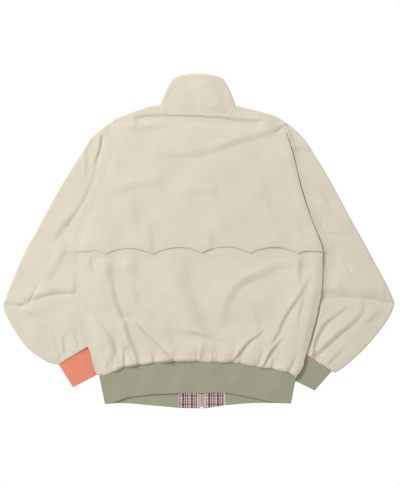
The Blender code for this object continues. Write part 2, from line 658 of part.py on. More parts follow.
# ---- sleeves and cuffs -----------------------------------------------------------------------
def tube_ring(inner, outer, top, columns, arch=0.0):
    """Closed section of a flattened tube lying on the floor: a loop of points.

    inner and outer are its two ends in plan, top gives the height of its upper face, and
    arch is the rise of the underside between its edges.
    """
    inner, outer = np.asarray(inner, float), np.asarray(outer, float)
    width = np.linalg.norm(outer - inner)
    along_ring = (outer - inner) / width

    def height(distance):
        x, y = inner + along_ring * distance
        return float(top(np.array([x]), np.array([y]))[0])

    r_in = height(3.0) / 2
    r_out = height(width - 5.0) / 2
    profile = [(d, arch) for d in np.linspace(r_in, width - r_out, FOOT_COLUMNS)]
    profile[0], profile[-1] = (r_in, 0.0), (width - r_out, 0.0)
    for angle in END_TURNS:
        a = math.radians(angle)
        profile.append((width - r_out + r_out * math.cos(a), r_out + r_out * math.sin(a)))
    for d in np.linspace(width - r_out, r_in, columns):
        profile.append((d, height(d)))
    profile[-1] = (r_in, 2 * r_in)
    profile[FOOT_COLUMNS + len(END_TURNS)] = (width - r_out, 2 * r_out)
    for angle in END_TURNS:
        a = math.radians(180 + angle)
        profile.append((r_in + r_in * math.cos(a), r_in + r_in * math.sin(a)))
    return np.array([(*(inner + along_ring * d), z) for d, z in profile])


def tube(name, side, rings, thickness, colour):
    """A wall through closed rings, turned so that its faces point out."""
    grid = np.array(rings)
    if side == "left":
        grid = grid[:, ::-1]
    inner = grid - thickness * normals(grid, True)
    return wall(name, grid, inner, True, colour)


def sleeve(side):
    def top(x, y):
        return sleeve_top(side, x, y)
    rings = [tube_ring(s[:2], s[2:], top, 12, FOOT_ARCH * (1 + k % 2))
             for k, s in enumerate(SLEEVE[side])]
    return tube(f"sleeve_{side}", side, rings, SHELL_WALL, "shell")


def cuff(side, colour):
    def top(x, y):
        free = ease((outside(side, x, y) - 2.0) / CUFF_SLOPE)
        return CUFF_TUCKED + (CUFF_HEIGHT - CUFF_TUCKED) * free
    start, end = CUFF[side]
    width = math.hypot(start.outer_x - start.inner_x, start.outer_y - start.inner_y)
    columns = 2 * round(width / CUFF_RIB_PITCH) + 1
    rings = []
    for t in (0.0, 0.08, 0.92, 1.0):
        row = np.asarray(start) * (1 - t) + np.asarray(end) * t
        rings.append(tube_ring(row[:2], row[2:], top, columns))
    grid = np.array(rings)
    if side == "left":
        grid = grid[:, ::-1]
    inner = grid - CUFF_WALL * normals(grid, True)
    raised = grid.copy()
    first = len(END_TURNS) + (FOOT_COLUMNS if side == "right" else 0)
    for k in range(2, columns - 2, 2):
        raised[1:-1, first + k, 2] += RIB_RELIEF
    return wall(f"cuff_{side}", raised, inner, True, colour)


# ---- hem band --------------------------------------------------------------------------------
def hem_loop(x_name, y_name):
    """One edge of the hem band: front left, round the side, the back, and round again.

    Gives its points, and the first and the number of those on the back.
    """
    def plan(table, fractions):
        return hem_seam(x_name, y_name, table, fractions)
    half = (HEM_BACK_FLOOR + RIB_WALL) / 2
    ribs = round(HEM_WIDTH / HEM_RIB_PITCH)
    back = plan(HEM_BACK, np.linspace(0, 1, 2 * ribs + 1))
    front_columns = 8
    left = plan(HEM_FRONT["left"], np.linspace(0, 1, front_columns))[::-1]
    right = plan(HEM_FRONT["right"], np.linspace(0, 1, front_columns))

    def lay(points, level):
        lift = body_lift(points[:, 0], points[:, 1])
        return np.column_stack([points, lift + level])

    def turn(point, outward):
        lift = float(body_lift(np.array([point[0]]), np.array([point[1]]))[0])
        angles = [math.radians(a) for a in (-45, 0, 45)]
        return np.array([(point[0] + outward * half * math.cos(a), point[1],
                          lift + half + half * math.sin(a)) for a in angles])

    # the flat rows end where the side rolls begin
    back[:, 0] = np.clip(back[:, 0], back[0, 0] + half, back[-1, 0] - half)
    left[-1, 0] += half
    right[0, 0] -= half
    return np.concatenate([
        lay(left, 0.0), turn(left[-1], -1.0), lay(back, 2 * half),
        turn(right[0], 1.0)[::-1], lay(right, 0.0)]), front_columns + 3, len(back)


def hem_band():
    top_edge, first, count = hem_loop("x_top", "y_top")
    foot_edge, _, _ = hem_loop("x_foot", "y_foot")
    grid = np.array([foot_edge * (1 - t) + top_edge * t for t in (0.0, 0.05, 1.0)])
    inner = grid - RIB_WALL * normals(grid, False)
    raised = grid.copy()
    for k in range(3, count - 3, 2):
        raised[1:, first + k, 2] += RIB_RELIEF
    return wall("hem_rib", raised, inner, False, "sage_rib")


# ---- collar ----------------------------------------------------------------------------------
Station = namedtuple("Station", "x_base y_base x_top y_top z_base z_top")
COLLAR_HALF = [             # from the front end round the side to the middle of the back
    Station(5, 234, 6, 302, 0.0, 0.0), Station(30, 240, 26, 316, 0.0, 0.0),
    Station(57, 258, 44, 338, 0.0, 0.0), Station(75, 283, 54, 358, 0.0, 0.0),
    Station(84, 301, 58, 366, 0.2, 0.2), Station(87.5, 306, 60, 369, 2.0, 1.8),
    Station(88, 307.5, 60, 371, 4.4, 4.0), Station(86, 306.5, 57, 373.5, 7.2, 6.4),
    Station(80, 302, 50, 377, 8.4, 7.4), Station(68, 293, 40, 380, 8.6, 7.6),
    Station(45, 288, 24, 383.5, 8.6, 7.6), Station(22, 286.5, 12, 384.8, 8.6, 7.6)]
COLLAR_MIDDLE = Station(0, 286, 3, 385.0, 8.6, 7.6)
COLLAR_SIDE_BULGE = 3.0
COLLAR_BACK_BULGE = 0.5
COLLAR_SHIFT = 0.5          # the neck is this far to the right
COLLAR_LOWER = 5.0          # the back half lies above this height


def collar():
    def mirrored(s):
        return s._replace(x_base=-s.x_base, x_top=-s.x_top)
    round_it = [mirrored(s) for s in COLLAR_HALF] + [COLLAR_MIDDLE] + COLLAR_HALF[::-1]
    base = np.array([(s.x_base, s.y_base, s.z_base) for s in round_it])
    base[:, 0] += COLLAR_SHIFT
    top = np.array([(s.x_top, s.y_top, s.z_top) for s in round_it])
    rows = []
    for t in np.linspace(0, 1, 8):
        row = base * (1 - t) + top * t
        side = ease((np.abs(row[:, 0]) - 30.0) / 40.0)
        bulge = math.sin(math.pi * t)
        row[:, 0] += np.sign(row[:, 0]) * COLLAR_SIDE_BULGE * bulge * side
        row[row[:, 2] > COLLAR_LOWER, 2] += COLLAR_BACK_BULGE * bulge
        rows.append(row)
    grid = np.array(rows)
    inner = grid - COLLAR_WALL * normals(grid, False)
    return wall("collar", grid, inner, False, "shell")


def clear_scene():
    for item in list(bpy.data.objects):
        bpy.data.objects.remove(item)


def build():
    clear_scene()
    for side in ("left", "right"):
        front(side)
        sleeve(side)
        hem_tab(side)
        facing(side)
    cuff("left", "coral_rib")
    cuff("right", "sage_rib")
    lower_back()
    yoke()
    collar()
    hem_band()
    zip_fastening()


build()
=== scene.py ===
"""Harrington jacket laid flat with its back up: the cloth, knit, zip and stitching that show.

Sizes are millimetres until a mesh is made. X points to the right sleeve, Y to the collar and Z
up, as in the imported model. Every piece of cloth is a closed thin wall in the place of its solid:
a grid of outer points, the same grid moved in by the cloth's thickness, and their joined edges.
"""
import math
from collections import namedtuple

import bpy
import numpy as np
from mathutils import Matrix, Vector
from mathutils.bvhtree import BVHTree


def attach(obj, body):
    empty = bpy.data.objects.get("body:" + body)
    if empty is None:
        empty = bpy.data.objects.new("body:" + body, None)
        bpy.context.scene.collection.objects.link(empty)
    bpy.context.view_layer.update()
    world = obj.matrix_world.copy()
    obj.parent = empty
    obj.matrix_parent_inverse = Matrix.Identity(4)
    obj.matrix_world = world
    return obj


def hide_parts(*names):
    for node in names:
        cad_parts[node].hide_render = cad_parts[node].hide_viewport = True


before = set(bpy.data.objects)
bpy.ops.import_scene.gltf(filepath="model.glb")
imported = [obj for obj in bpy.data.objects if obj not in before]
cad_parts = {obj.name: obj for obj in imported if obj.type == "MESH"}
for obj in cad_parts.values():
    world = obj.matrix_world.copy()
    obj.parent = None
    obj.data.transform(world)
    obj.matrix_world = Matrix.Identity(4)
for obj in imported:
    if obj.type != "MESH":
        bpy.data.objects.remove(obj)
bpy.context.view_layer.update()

MM = 0.001
SIGN = {"left": -1.0, "right": 1.0}     # the way out from the middle


def rows_of(kind, *values):
    """A table: rows of values under the names of their columns."""
    return [kind(*row) for row in values]


# ---- sizes ---------------------------------------------------------------------------------
GRID = 2.4                  # spacing of the points on cloth that shows
CLOTH = 1.2                 # twill and its lining
KNIT = 1.8
CUFF_KNIT = 1.3
COLLAR_CLOTH = 2.2
CHECK_CLOTH = 0.8
SEAM_GAP = 0.5

BACK_LEVEL = 5.3            # upper face of the lower back, and of the yoke over it
YOKE_LEVEL = 7.7
YOKE_SETTLE = 1.0           # how far the yoke sinks above the lower back's end
SETTLE_FROM = 50.0
SETTLE_SIDE = 190.0
SETTLE_SLOPE = 80.0
FRONT_LEVEL = 1.5
BACK_UNDER = 3.6            # no trough of the back or the yoke goes lower than this
YOKE_UNDER = 3.3
BLOUSE = 5.0                # air that the hem band gathers into the lower back
BLOUSE_SIDE = 70.0
BLOUSE_FROM = -50.0
BLOUSE_SLOPE = 90.0
FOOT_LEVEL = 6.7            # the gathered edge lies on the hem band
FOOT_TURN = 9.0             # and turns down onto it within this

TUCK_LIFT = 4.3             # how far the tucked forearms raise the body
TUCK_SLOPE = 60.0
TUCK_MARGIN = 5.0
TUCK_HEAD = 35.0
TUCK_FOOT = -380.0

SLEEVE_HEIGHT = 7.0         # flattened sleeve in the open, under the body and under the yoke
SLEEVE_TUCKED = 3.6
SLEEVE_COLUMNS = 124
SLEEVE_AT_YOKE = 5.5
YOKE_RISE_FROM = 30.0
EDGE_STEP = 0.2             # from the body's left edge down to the sleeve
BACK_EDGE = 3.9             # height of the back's left edge
GROOVE_DEPTH = 0.4          # the elbow's fold
GROOVE_WIDTH = 4.6
CUFF_HEIGHT = 4.6
CUFF_TUCKED = 3.3

RIB_RELIEF = 0.45           # knit ribs of the hem and the cuffs
HEM_RIB_PITCH = 3.3
CUFF_RIB_PITCH = 3.0
HEM_BACK_FLOOR = 3.4        # the band's back half lies on its front half
HEM_WIDTH = 430.0

ZIP_X = 6.4
ZIP_TOP = 232.0
ZIP_FOOT = -385.0
COIL_PITCH = 2.4            # the coil's turns, drawn a little coarser than the real 1.5 mm
CHAIN_WIDTH = 4.4
COIL_END = 3.6              # the coil stops short of the tapes' ends
TAPE_WIDTH = 5.6
HEM_TAB_LEVEL = FRONT_LEVEL - 0.1
FACING_WIDTH = 43.4
FACING_TOP = -326.0
FACING_LEVEL = 2.7

SCALLOP_PITCH = 112.0
SCALLOP_RISE = 14.0
SCALLOP_START = -217.0
SCALLOP_Y = -30.5
SCALLOP_SKEW = 4.0          # the right half lies higher
SKEW_FROM = -130.0
SKEW_SLOPE = 150.0
SIDE_ARC = 0.45             # the arcs at the sides are this share of a full one
FULL_LEFT = -257.0          # and the full ones lie between these
FULL_LEFT_SLOPE = 20.0
FULL_RIGHT = 270.0
FULL_RIGHT_SLOPE = 30.0
YOKE_OVERLAP = 46.0
FOLD_FADE = 24.0            # folds start this far from the yoke's edge

PUFF = 1.6                  # rise of the cloth between two pinches of the gathers
GATHER_SAG = 2.4
OVER_RIB = 1.0
RIB_FADE = 38.0

NECK_HALF = 84.0
NECK_TUCK = 5.0             # the yoke and the collar run into each other so far at the seam
SEAM_DIP = 1.0              # and whichever lies below goes down so far
SHOULDER_ROLL = 4.0
SHOULDER_DROP = 4.6


# ---- outlines, a row a point, from the hem up or from the shoulder down ----------------------
Edge = namedtuple("Edge", "x y")
SIDE = {                    # body below the underarm
    "left": rows_of(Edge, (-233, -312), (-240, -303), (-248, -280), (-256, -243), (-263, -209),
                       (-274, -168), (-278, -133), (-284, -69), (-288, -25)),
    "right": rows_of(Edge, (226, -313), (234, -305), (243, -289), (248, -263), (253, -245),
                        (263, -207), (272, -174), (280, -137), (285, -104), (286, -69),
                        (286, -25)),
}
ARMHOLE = {                 # from the underarm up to the shoulder
    "left": rows_of(Edge, (-288, -25), (-275, 21), (-260, 67), (-247, 103), (-233, 136),
                       (-222, 162), (-210, 188), (-202, 215), (-203, 245), (-209, 267)),
    "right": rows_of(Edge, (286, -25), (282, -6), (265, 38), (248, 84), (236, 124), (226, 167),
                        (216, 207), (205, 242), (200, 260), (202, 272)),
}
SHOULDER = {                # from the armhole to the neck
    "left": rows_of(Edge, (-209, 269), (-197, 280), (-164, 293), (-125, 307), (-107, 311),
                       (-90, 314)),
    "right": rows_of(Edge, (202, 273), (192, 283), (175, 290.8), (160, 295), (137, 301.4),
                        (116, 307.2), (104, 310), (89, 312.5)),
}
FRONT_NECK = rows_of(Edge, (5, 234), (30, 240), (57, 258), (75, 283), (84, 301), (88, 306))

# ---- sleeves: a row a section, from the armhole to the cuff ----------------------------------
Section = namedtuple("Section", "inner_x inner_y outer_x outer_y")
SLEEVE = {
    "left": rows_of(Section, (-240, -45, -187, 279), (-243, -50, -207, 270),
                          (-245.5, -56, -228, 255), (-247, -62, -247, 238),
                          (-248, -69, -266, 207), (-249, -76, -290, 170), (-249, -83, -313, 133),
                          (-249, -90, -334, 97), (-249, -97, -354, 60), (-249, -104, -375, 21),
                          (-249, -111, -398, -20), (-249, -117, -420, -70),
                          (-248, -123, -436, -108), (-248, -127.5, -445, -132),
                          (-247, -131, -450, -147), (-246.5, -135, -448, -158),
                          (-246, -140, -440, -177), (-244, -153, -420, -211),
                          (-241, -175, -394, -246), (-239.5, -198, -368, -266),
                          (-241.5, -218, -344, -280), (-244.3, -234.5, -327.3, -284.6)),
    "right": rows_of(Section, (240, -45, 187, 280), (243, -50, 208, 267), (245.5, -56, 228, 250),
                           (247, -62, 246, 230), (248, -69, 268, 196), (249, -76, 290, 160),
                           (249, -83, 312, 121), (249, -90, 332, 84), (249, -97, 352, 46),
                           (249, -104, 375, 6), (249, -111, 398, -37), (249, -117, 420, -77),
                           (248, -123, 438, -112), (248, -127.5, 446, -131),
                           (247, -131, 450, -143), (246.5, -135, 447, -156),
                           (246, -140, 438, -175), (244, -153, 418, -204), (241, -175, 390, -238),
                           (236, -205, 360, -268), (231, -230, 333, -291),
                           (228.3, -247.5, 315.3, -302.6)),
}
CUFF = {                    # a row an end: at the sleeve, at the wrist
    "left": rows_of(Section, (-244, -235, -323, -283), (-214, -296, -290, -336)),
    "right": rows_of(Section, (228, -248, 307, -298), (191, -306, 267, -343)),
}
# where the tucked sleeve and cuff end under the body
TUCK = {
    "left": rows_of(Edge, (-215, -320), (-215, -293), (-244, -235), (-238, -205), (-241, -175),
                       (-247, -131), (-249, -80), (-240, -45)),
    "right": rows_of(Edge, (192, -320), (192, -305), (228, -248), (233, -209), (241, -175),
                        (247, -131), (249, -80), (240, -45)),
}

# ---- hem band: a row a station across the body -----------------------------------------------
Band = namedtuple("Band", "x_top y_top x_foot y_foot")
HEM_BACK = rows_of(Band, (-230, -307, -216, -375), (-199, -297, -199, -372),
                      (-165, -287, -165, -361), (-120, -282, -118, -354.5),
                      (-60, -277, -58, -351), (0, -275, 0, -350), (60, -276, 60, -350),
                      (114, -282, 112, -358), (156, -290, 152, -367), (196, -299, 190, -373),
                      (225, -308, 212, -374))
HEM_FRONT = {
    "left": rows_of(Band, (-230, -307, -216, -375), (-190, -306, -188, -373),
                       (-110, -310, -110, -378), (-47, -317, -46, -384)),
    "right": rows_of(Band, (225, -308, 212, -374), (185, -306, 183, -373), (120, -306, 120, -373),
                        (60, -312, 60, -378)),
}

# pinches of the gathers: place, reach up the back, depth
Pinch = namedtuple("Pinch", "x y reach depth")
PINCHES = rows_of(Pinch, (-231, -311, 20, 0.6), (-215, -307, 24, 1.0), (-197, -301, 30, 1.2),
                      (-172, -289, 45, 1.6), (-137, -284, 26, 1.0), (-100, -279, 24, 1.4),
                      (-58, -276, 34, 1.2), (-3, -276, 32, 1.4), (12, -277, 18, 0.8),
                      (40, -278, 26, 1.0), (77, -278, 30, 1.0), (95, -280, 22, 0.8),
                      (132, -288, 28, 1.4), (169, -292, 30, 1.2), (207, -302, 28, 1.2),
                      (226, -313, 20, 0.6))

ELBOW = {                   # the sleeve folds on itself along this line
    "left": rows_of(Edge, (-278, -122), (-340, -126), (-450, -147)),
    "right": rows_of(Edge, (285, -131), (355, -132), (450, -143)),
}
Station = namedtuple("Station", "x_base y_base x_top y_top z_base z_top")
# from the front end round the side to the middle of the back
COLLAR_HALF = rows_of(Station, (5, 234, 6, 302, 0.0, 0.0), (30, 240, 26, 316, 0.0, 0.0),
                            (57, 258, 44, 338, 0.0, 0.0), (75, 283, 54, 358, 0.0, 0.0),
                            (84, 301, 58, 366, 0.2, 0.2), (87.5, 306, 60, 369, 2.0, 1.8),
                            (88, 307.5, 60, 371, 4.4, 4.0), (86, 306.5, 57, 373.5, 7.2, 6.4),
                            (80, 302, 50, 377, 8.4, 7.4), (68, 293, 40, 380, 8.6, 7.6),
                            (45, 288, 24, 383.5, 8.6, 7.6), (22, 286.5, 12, 384.8, 8.6, 7.6))
COLLAR_MIDDLE = Station(0, 286, 3, 385.0, 8.6, 7.6)
COLLAR_SIDE_BULGE = 3.0
COLLAR_SHIFT = -2.3         # the collar lies this far to the left
COLLAR_LOWER = 5.0          # the back half lies above this height
COLLAR_TURN = 306.0         # and its foot below this place


# ---- creases ---------------------------------------------------------------------------------
# A crease is a trough along a path, with a swell of cloth beside it. k0, k1 and k2 are its
# strength at the start, the middle and the end. The swell rises over shift, to the path's left
# where that is above 0, and falls away slowly over reach.
Crease = namedtuple("Crease", "path k0 k1 k2 depth width ridge shift reach")
Way = namedtuple("Way", "x y")
CREASING = 1.5              # all creases together
STEEP_SIDE = Way(-0.79, 0.61)
STEEP_WIDTH = 0.85
SLOW_WIDTH = 2.2
BACK_CREASES = rows_of(Crease,
    ([(-199, -78), (-192, -113), (-187, -136), (-176, -163), (-164, -193), (-153, -228),
      (-142, -251), (-134, -278)], 0.3, 1.15, 0.9, 1.9, 8.0, 3.3, -11, 24),
    ([(-200, -38), (-194, -60), (-196, -88)], 0.8, 0.8, 0.4, 0.8, 15, 3.8, -24, 12),
    ([(-150, -26), (-142, -48), (-136, -70)], 0.9, 1, 0.3, 1.4, 12, 3.2, -26, 18),
    ([(-162, -175), (-146, -184), (-123, -209), (-100, -230), (-77, -253), (-54, -276)],
     1, 1.1, 1, 2.1, 4.4, 4.0, -7, 12),
    ([(-233, -175), (-213, -200), (-196, -226), (-190, -251), (-197, -274)],
     0.6, 1.1, 0.6, 1.4, 6, 3.8, -15, 24),
    ([(-263, -136), (-254, -159), (-245, -175)], 0.9, 1, 0.6, 1.5, 3, 0.8, -6, 10),
    ([(-249, -25), (-246, -48), (-239, -72)], 1.1, 1, 0.2, 1.2, 4, 1.5, -8, 14),
    ([(-172, -246), (-171, -287)], 0.6, 1, 1.1, 2.4, 2.4, 0.9, -4, 6),
    ([(-167, -250), (-157, -267), (-140, -285)], 0.9, 1, 0.8, 2.2, 2.6, 0.8, -4, 7),
    ([(-107, -262), (-102, -278)], 0.6, 0.9, 1.1, 2.4, 2.6, 0.7, -4, 6),
    ([(-217, -274), (-201, -292)], 0.5, 1, 0.8, 0.9, 3.0, 0.6, -5, 6),
    ([(-199, -200), (-176, -228), (-158, -255), (-142, -278)], 0.3, 1, 1, -0.8, 3, 0.2, -4, 5),
    ([(-148, -100), (-140, -122), (-126, -150)], 0.5, 1, 0.3, 1.0, 6, 1.2, -12, 12),
    ([(-24, -39), (-19, -78), (-14, -108), (0, -136), (12, -182), (31, -216)],
     0.5, 1, 0.8, 2.2, 18, 3.2, -38, 36),
    ([(-66, -206), (-58, -228), (-46, -252)], 0.3, 0.8, 0.4, 0.7, 9, 1.2, -14, 14),
    ([(-58, -208), (-31, -213), (-4, -218), (26, -225), (54, -234)],
     0.2, 1, 0.5, 1.3, 5, 1.8, 10, 18),
    ([(-14, -238), (8, -242), (28, -241)], 0.6, 1.1, 0.6, -1.6, 8, 0.1, 6, 8),
    ([(68, -177), (70, -159), (79, -136), (91, -117), (109, -101), (132, -90), (155, -83),
      (178, -71), (203, -64)], 0.5, 1.1, 0.4, 1.1, 10, 2.7, 20, 30),
    ([(82, -276), (100, -253), (118, -232), (132, -223), (146, -212)],
     1.2, 1.1, 0.4, 2.2, 2.8, 2.6, 5, 12),
    ([(70, -266), (75, -277)], 0.8, 1, 1.2, 2.2, 2.6, 0.5, 4, 5),
    ([(153, -284), (164, -262), (176, -246), (188, -232)], 1.2, 1.1, 0.5, 2.4, 2.8, 2.4, 5, 12),
    ([(178, -225), (188, -209), (197, -186), (210, -163), (224, -143), (238, -122), (254, -94)],
     0.9, 1.1, 0.5, 1.3, 3.6, 2.4, 8, 22),
    ([(243, -124), (237, -159), (231, -195)], 0.6, 1, 0.4, 1.2, 5, 0.9, -8, 12),
    ([(240, -30), (238, -60), (236, -96)], 1, 1.1, 0.4, 0.8, 4, 2.2, -12, 14),
    ([(134, -158), (139, -180), (143, -206)], 0.3, 0.9, 0.8, 0.5, 5, 1.1, -13, 13),
    ([(137, -287), (141, -272), (147, -254)], 1, 1, 0.4, 1.6, 3, 0.8, 5, 7),
    ([(210, -300), (217, -281), (224, -262)], 1, 1, 0.4, 1.4, 3, 0.9, 5, 7),
    ([(6, -258), (3, -278)], 0.5, 1, 1.2, 2.6, 2.4, 0.6, -4, 5),
    ([(33, -255), (33, -278)], 0.6, 1, 1, 1.8, 2.6, 0.5, -4, 5),
    ([(273, -120), (262, -190), (246, -250)], 0.3, 0.8, 0.6, 1.0, 7, 1.0, -12, 12))
# the yoke bends below the collar's foot
NECK_CREASE = rows_of(Crease,
    ([(-190, 272), (-157, 279), (-118, 284)], 0.2, 0.4, 0.5, 1.0, 6, 0.9, -9, 12),
    ([(-140, 281.5), (-112, 284.5), (-88, 285.4), (-42, 284.7), (4, 282.4), (50, 278.4),
      (95, 274.5), (138, 273)], 0.6, 1.4, 0.6, 4.6, 6.0, 1.2, 7, 12),
    ([(-112, 279), (-60, 279), (-10, 276)], 0.4, 1, 0.3, 0.1, 6, 1.2, -9, 14))
YOKE_CREASES = rows_of(Crease,
    ([(180, 252), (192, 261), (201, 263), (210, 260)], 0.8, 1.1, 1, 2.6, 3.0, 0.6, 5, 6),
    ([(-158, 249), (-111, 255), (-77, 262), (-31, 269)], 0.3, 0.9, 0.2, 0.5, 7, 2.0, 16, 16),
    ([(-92, 192), (-8, 193), (38, 204), (95, 223), (146, 237), (169, 244)],
     0.35, 0.9, 0.9, 0.8, 7, 2.4, 17, 20),
    ([(-222, 211), (-203, 218), (-190, 221), (-185, 232)], 0.7, 1, 0.7, 1.1, 2.8, 0.4, -4, 6),
    ([(-192, 240), (-188, 226)], 1, 1, 0.6, -0.7, 3, 0.1, 4, 5),
    ([(-199, 218), (-190, 205), (-181, 196)], 0.6, 1, 0.5, 0.8, 8, 1.4, -10, 12),
    ([(-210, 98), (-178, 110), (-157, 115), (-123, 120), (-88, 127)],
     0.2, 0.9, 0.4, 0.5, 8, 2.2, 20, 20),
    ([(-205, 84), (-196, 68)], 0.6, 0.7, 0.3, 0.5, 8, 0.9, -12, 12),
    ([(-142, 84), (-138, 56), (-130, 24)], 0.3, 0.8, 0.4, 0.6, 12, 1.5, -18, 16),
    ([(-110, 36), (-105, 6), (-103, -22)], 0.3, 0.8, 1, 0.6, 7, 1.4, -12, 16),
    ([(34, 150), (44, 120), (46, 92)], 0.4, 0.8, 0.3, 0.5, 10, 0.8, -16, 16),
    ([(30, 30), (34, 6), (34, -14)], 0.4, 0.9, 0.8, 0.6, 8, 1.2, -12, 14),
    ([(-30, 110), (0, 104), (28, 108)], 0.3, 0.7, 0.3, 0.6, 9, 1.0, 14, 14),
    ([(232, 60), (240, 30), (262, -8)], 0.2, 0.7, 0.3, 0.8, 8, 0.8, -12, 12),
    ([(150, 130), (168, 92), (170, 50)], 0.2, 0.6, 0.2, 0.8, 10, 1.0, -18, 16))
SLEEVE_CREASES = {
    "left": rows_of(Crease,
        ([(-222, 240), (-224, 221), (-229, 202), (-234, 186), (-236, 176)],
         0.9, 1.1, 0.5, 2.6, 3.0, 1.4, -6, 10),
        ([(-236, 241), (-228, 243), (-219, 242)], 0.8, 1, 0.6, -1.0, 4, 0.1, 4, 5),
        ([(-247, 228), (-243, 221)], 0.9, 1, 0.6, 1.4, 3, 0.5, -5, 6),
        ([(-257, 212), (-254, 182), (-256, 150)], 0.4, 0.8, 0.3, 0.7, 6, 1.8, -10, 12),
        ([(-238, 160), (-250, 122), (-272, 80), (-289, 53), (-296, 42)],
         0.3, 0.7, 0.9, 1.1, 3.2, 1.0, -9, 16),
        ([(-286, 60), (-305, 32), (-322, 8)], 0.3, 1, 0.8, 0.8, 7, 2.0, -16, 18),
        ([(-305, 2), (-302, -21), (-314, -48), (-335, -83)], 0.5, 0.9, 0.4, 0.7, 7, 2.2, -17, 24),
        ([(-273, 28), (-279, 14)], 1, 1, 0.7, 1.2, 3.0, 0.4, -4, 6),
        ([(-367, -94), (-376, -113), (-383, -129), (-391, -143)],
         0.6, 1, 0.8, 1.2, 3.2, 0.6, 6, 10),
        ([(-450, -145), (-429, -146), (-406, -149)], 0.5, 0.7, 1.2, 2.0, 3.0, 0.9, 6, 8),
        ([(-406, -146), (-387, -139), (-364, -131), (-337, -124), (-309, -121), (-275, -120)],
         0.5, 1.1, 0.7, 1.5, 3.4, 1.8, 14, 16),
        ([(-278, -90), (-279, -116)], 0.6, 1, 1, 0.5, 9, 1.0, -14, 12),
        ([(-403, -165), (-369, -180)], 0.8, 1, 0.6, 0.7, 8, 1.0, 12, 12),
        ([(-360, -197), (-346, -214)], 0.8, 1, 0.8, 1.0, 4, 0.8, 6, 8),
        ([(-310, -222), (-307, -255)], 0.6, 1, 1.1, 1.6, 4.4, 1.2, -7, 9),
        ([(-266, -192), (-261, -234)], 0.6, 0.9, 1, 1.2, 3.4, 0.8, -5, 8),
        ([(-284, -212), (-276, -240)], 0.6, 0.9, 1, 1.1, 4, 0.8, -6, 8),
        ([(-335, -215), (-326, -240), (-318, -262)], 0.3, 0.8, 1, 0.8, 6, 1.0, -8, 10)),
    "right": rows_of(Crease,
        ([(224, 207), (238, 205), (255, 206)], 0.9, 1.1, 0.8, 1.2, 4, 1.4, 14, 20),
        ([(206, 264), (216, 247), (224, 228), (230, 210)], 1, 1.2, 0.8, 2.2, 10, 0.2, 8, 8),
        ([(286, 113), (296, 96), (306, 79)], 0.5, 0.9, 0.4, 0.6, 8, 1.4, -12, 14),
        ([(284, 48), (289, 25), (298, 16), (321, 17), (338, 8)],
         0.5, 0.9, 0.6, 0.9, 4, 0.7, 5, 10),
        ([(309, -11), (316, -28)], 0.7, 0.9, 0.5, 0.7, 5, 0.7, -6, 8),
        ([(334, -46), (345, -64), (356, -81)], 0.6, 0.8, 0.4, 0.9, 5, 1.0, -7, 9),
        ([(290, -130), (325, -130), (360, -132), (406, -134), (438, -141)],
         1.1, 1, 0.9, 0.9, 3, 3.4, 24, 30),
        ([(330, -96), (338, -118)], 0.6, 1, 0.6, 0.6, 8, 1.0, -10, 10),
        ([(429, -108), (433, -128)], 0.8, 1, 0.6, 1.2, 4, 0.6, -6, 8),
        ([(425, -143), (438, -146)], 0.8, 1, 0.8, 1.4, 3, 0.5, -5, 6),
        ([(337, -159), (321, -172), (302, -186), (289, -200), (280, -216), (272, -235),
          (267, -262)], 0.4, 1, 1.2, 2.1, 5.6, 1.8, -10, 16),
        ([(381, -140), (381, -161), (367, -182), (348, -200), (325, -218), (302, -239),
          (272, -266)], 0.4, 1, 1.2, 1.3, 4.6, 2.4, -12, 18),
        ([(418, -168), (404, -182), (388, -192)], 0.4, 1, 0.5, 0.8, 8, 2.0, -16, 16),
        ([(345, -240), (322, -262), (300, -284)], 0.2, 0.7, 1, 0.9, 5, 1.0, -8, 10),
        ([(256, -226), (252, -262)], 0.6, 1, 1.1, 1.6, 4, 0.8, -6, 8)),
}
COLLAR_CREASES = rows_of(Crease,
    ([(36, 378), (58, 347), (78, 316)], 0.9, 0.9, 0.5, 0.2, 9, 2.2, -34, 40),
    ([(3, 316), (2, 306)], 0.8, 1, 0.7, -0.6, 3, 0.1, 4, 5),
    ([(40, 306), (54, 317)], 0.7, 0.8, 0.5, 0.5, 5, 0.4, 5, 8),
    ([(-62, 352), (-68, 336), (-76, 322)], 0.5, 1, 0.6, 0.6, 5, 0.6, -7, 8))


# ---- numbers ---------------------------------------------------------------------------------
def ease(t):
    """0 below 0, 1 above 1, and a smooth slope between."""
    t = np.clip(t, 0.0, 1.0)
    return t * t * (3.0 - 2.0 * t)


def bell(distance, width):
    """1 at 0, and next to nothing from twice the width on."""
    return np.exp(-(distance / width) ** 2)


def shares(count):
    """Even fractions from 0 to 1."""
    return np.linspace(0, 1, count)


def along(points, fractions):
    """Points of a polyline at fractions of its length."""
    p = np.asarray(points, float)
    run = np.r_[0.0, np.cumsum(np.linalg.norm(np.diff(p, axis=0), axis=1))]
    at = np.asarray(fractions) * run[-1]
    return np.stack([np.interp(at, run, p[:, k]) for k in range(p.shape[1])], axis=-1)


def curve(points, fractions):
    """Points of a smooth curve through the given points, at fractions of its length."""
    p = np.asarray(points, float)
    run = np.r_[0.0, np.cumsum(np.linalg.norm(np.diff(p, axis=0), axis=1))]
    slope = np.gradient(p, run, axis=0)
    at = np.asarray(fractions) * run[-1]
    i = np.clip(np.searchsorted(run, at, side="right") - 1, 0, len(p) - 2)
    h = (run[i + 1] - run[i])[:, None]
    t = (at - run[i])[:, None] / h
    return ((2 * t**3 - 3 * t**2 + 1) * p[i] + (t**3 - 2 * t**2 + t) * h * slope[i]
            + (3 * t**2 - 2 * t**3) * p[i + 1] + (t**3 - t**2) * h * slope[i + 1])


def x_at(points, y):
    """x of an outline at a height y."""
    ys, xs = zip(*sorted((p.y, p.x) for p in points))
    return np.interp(y, ys, xs)


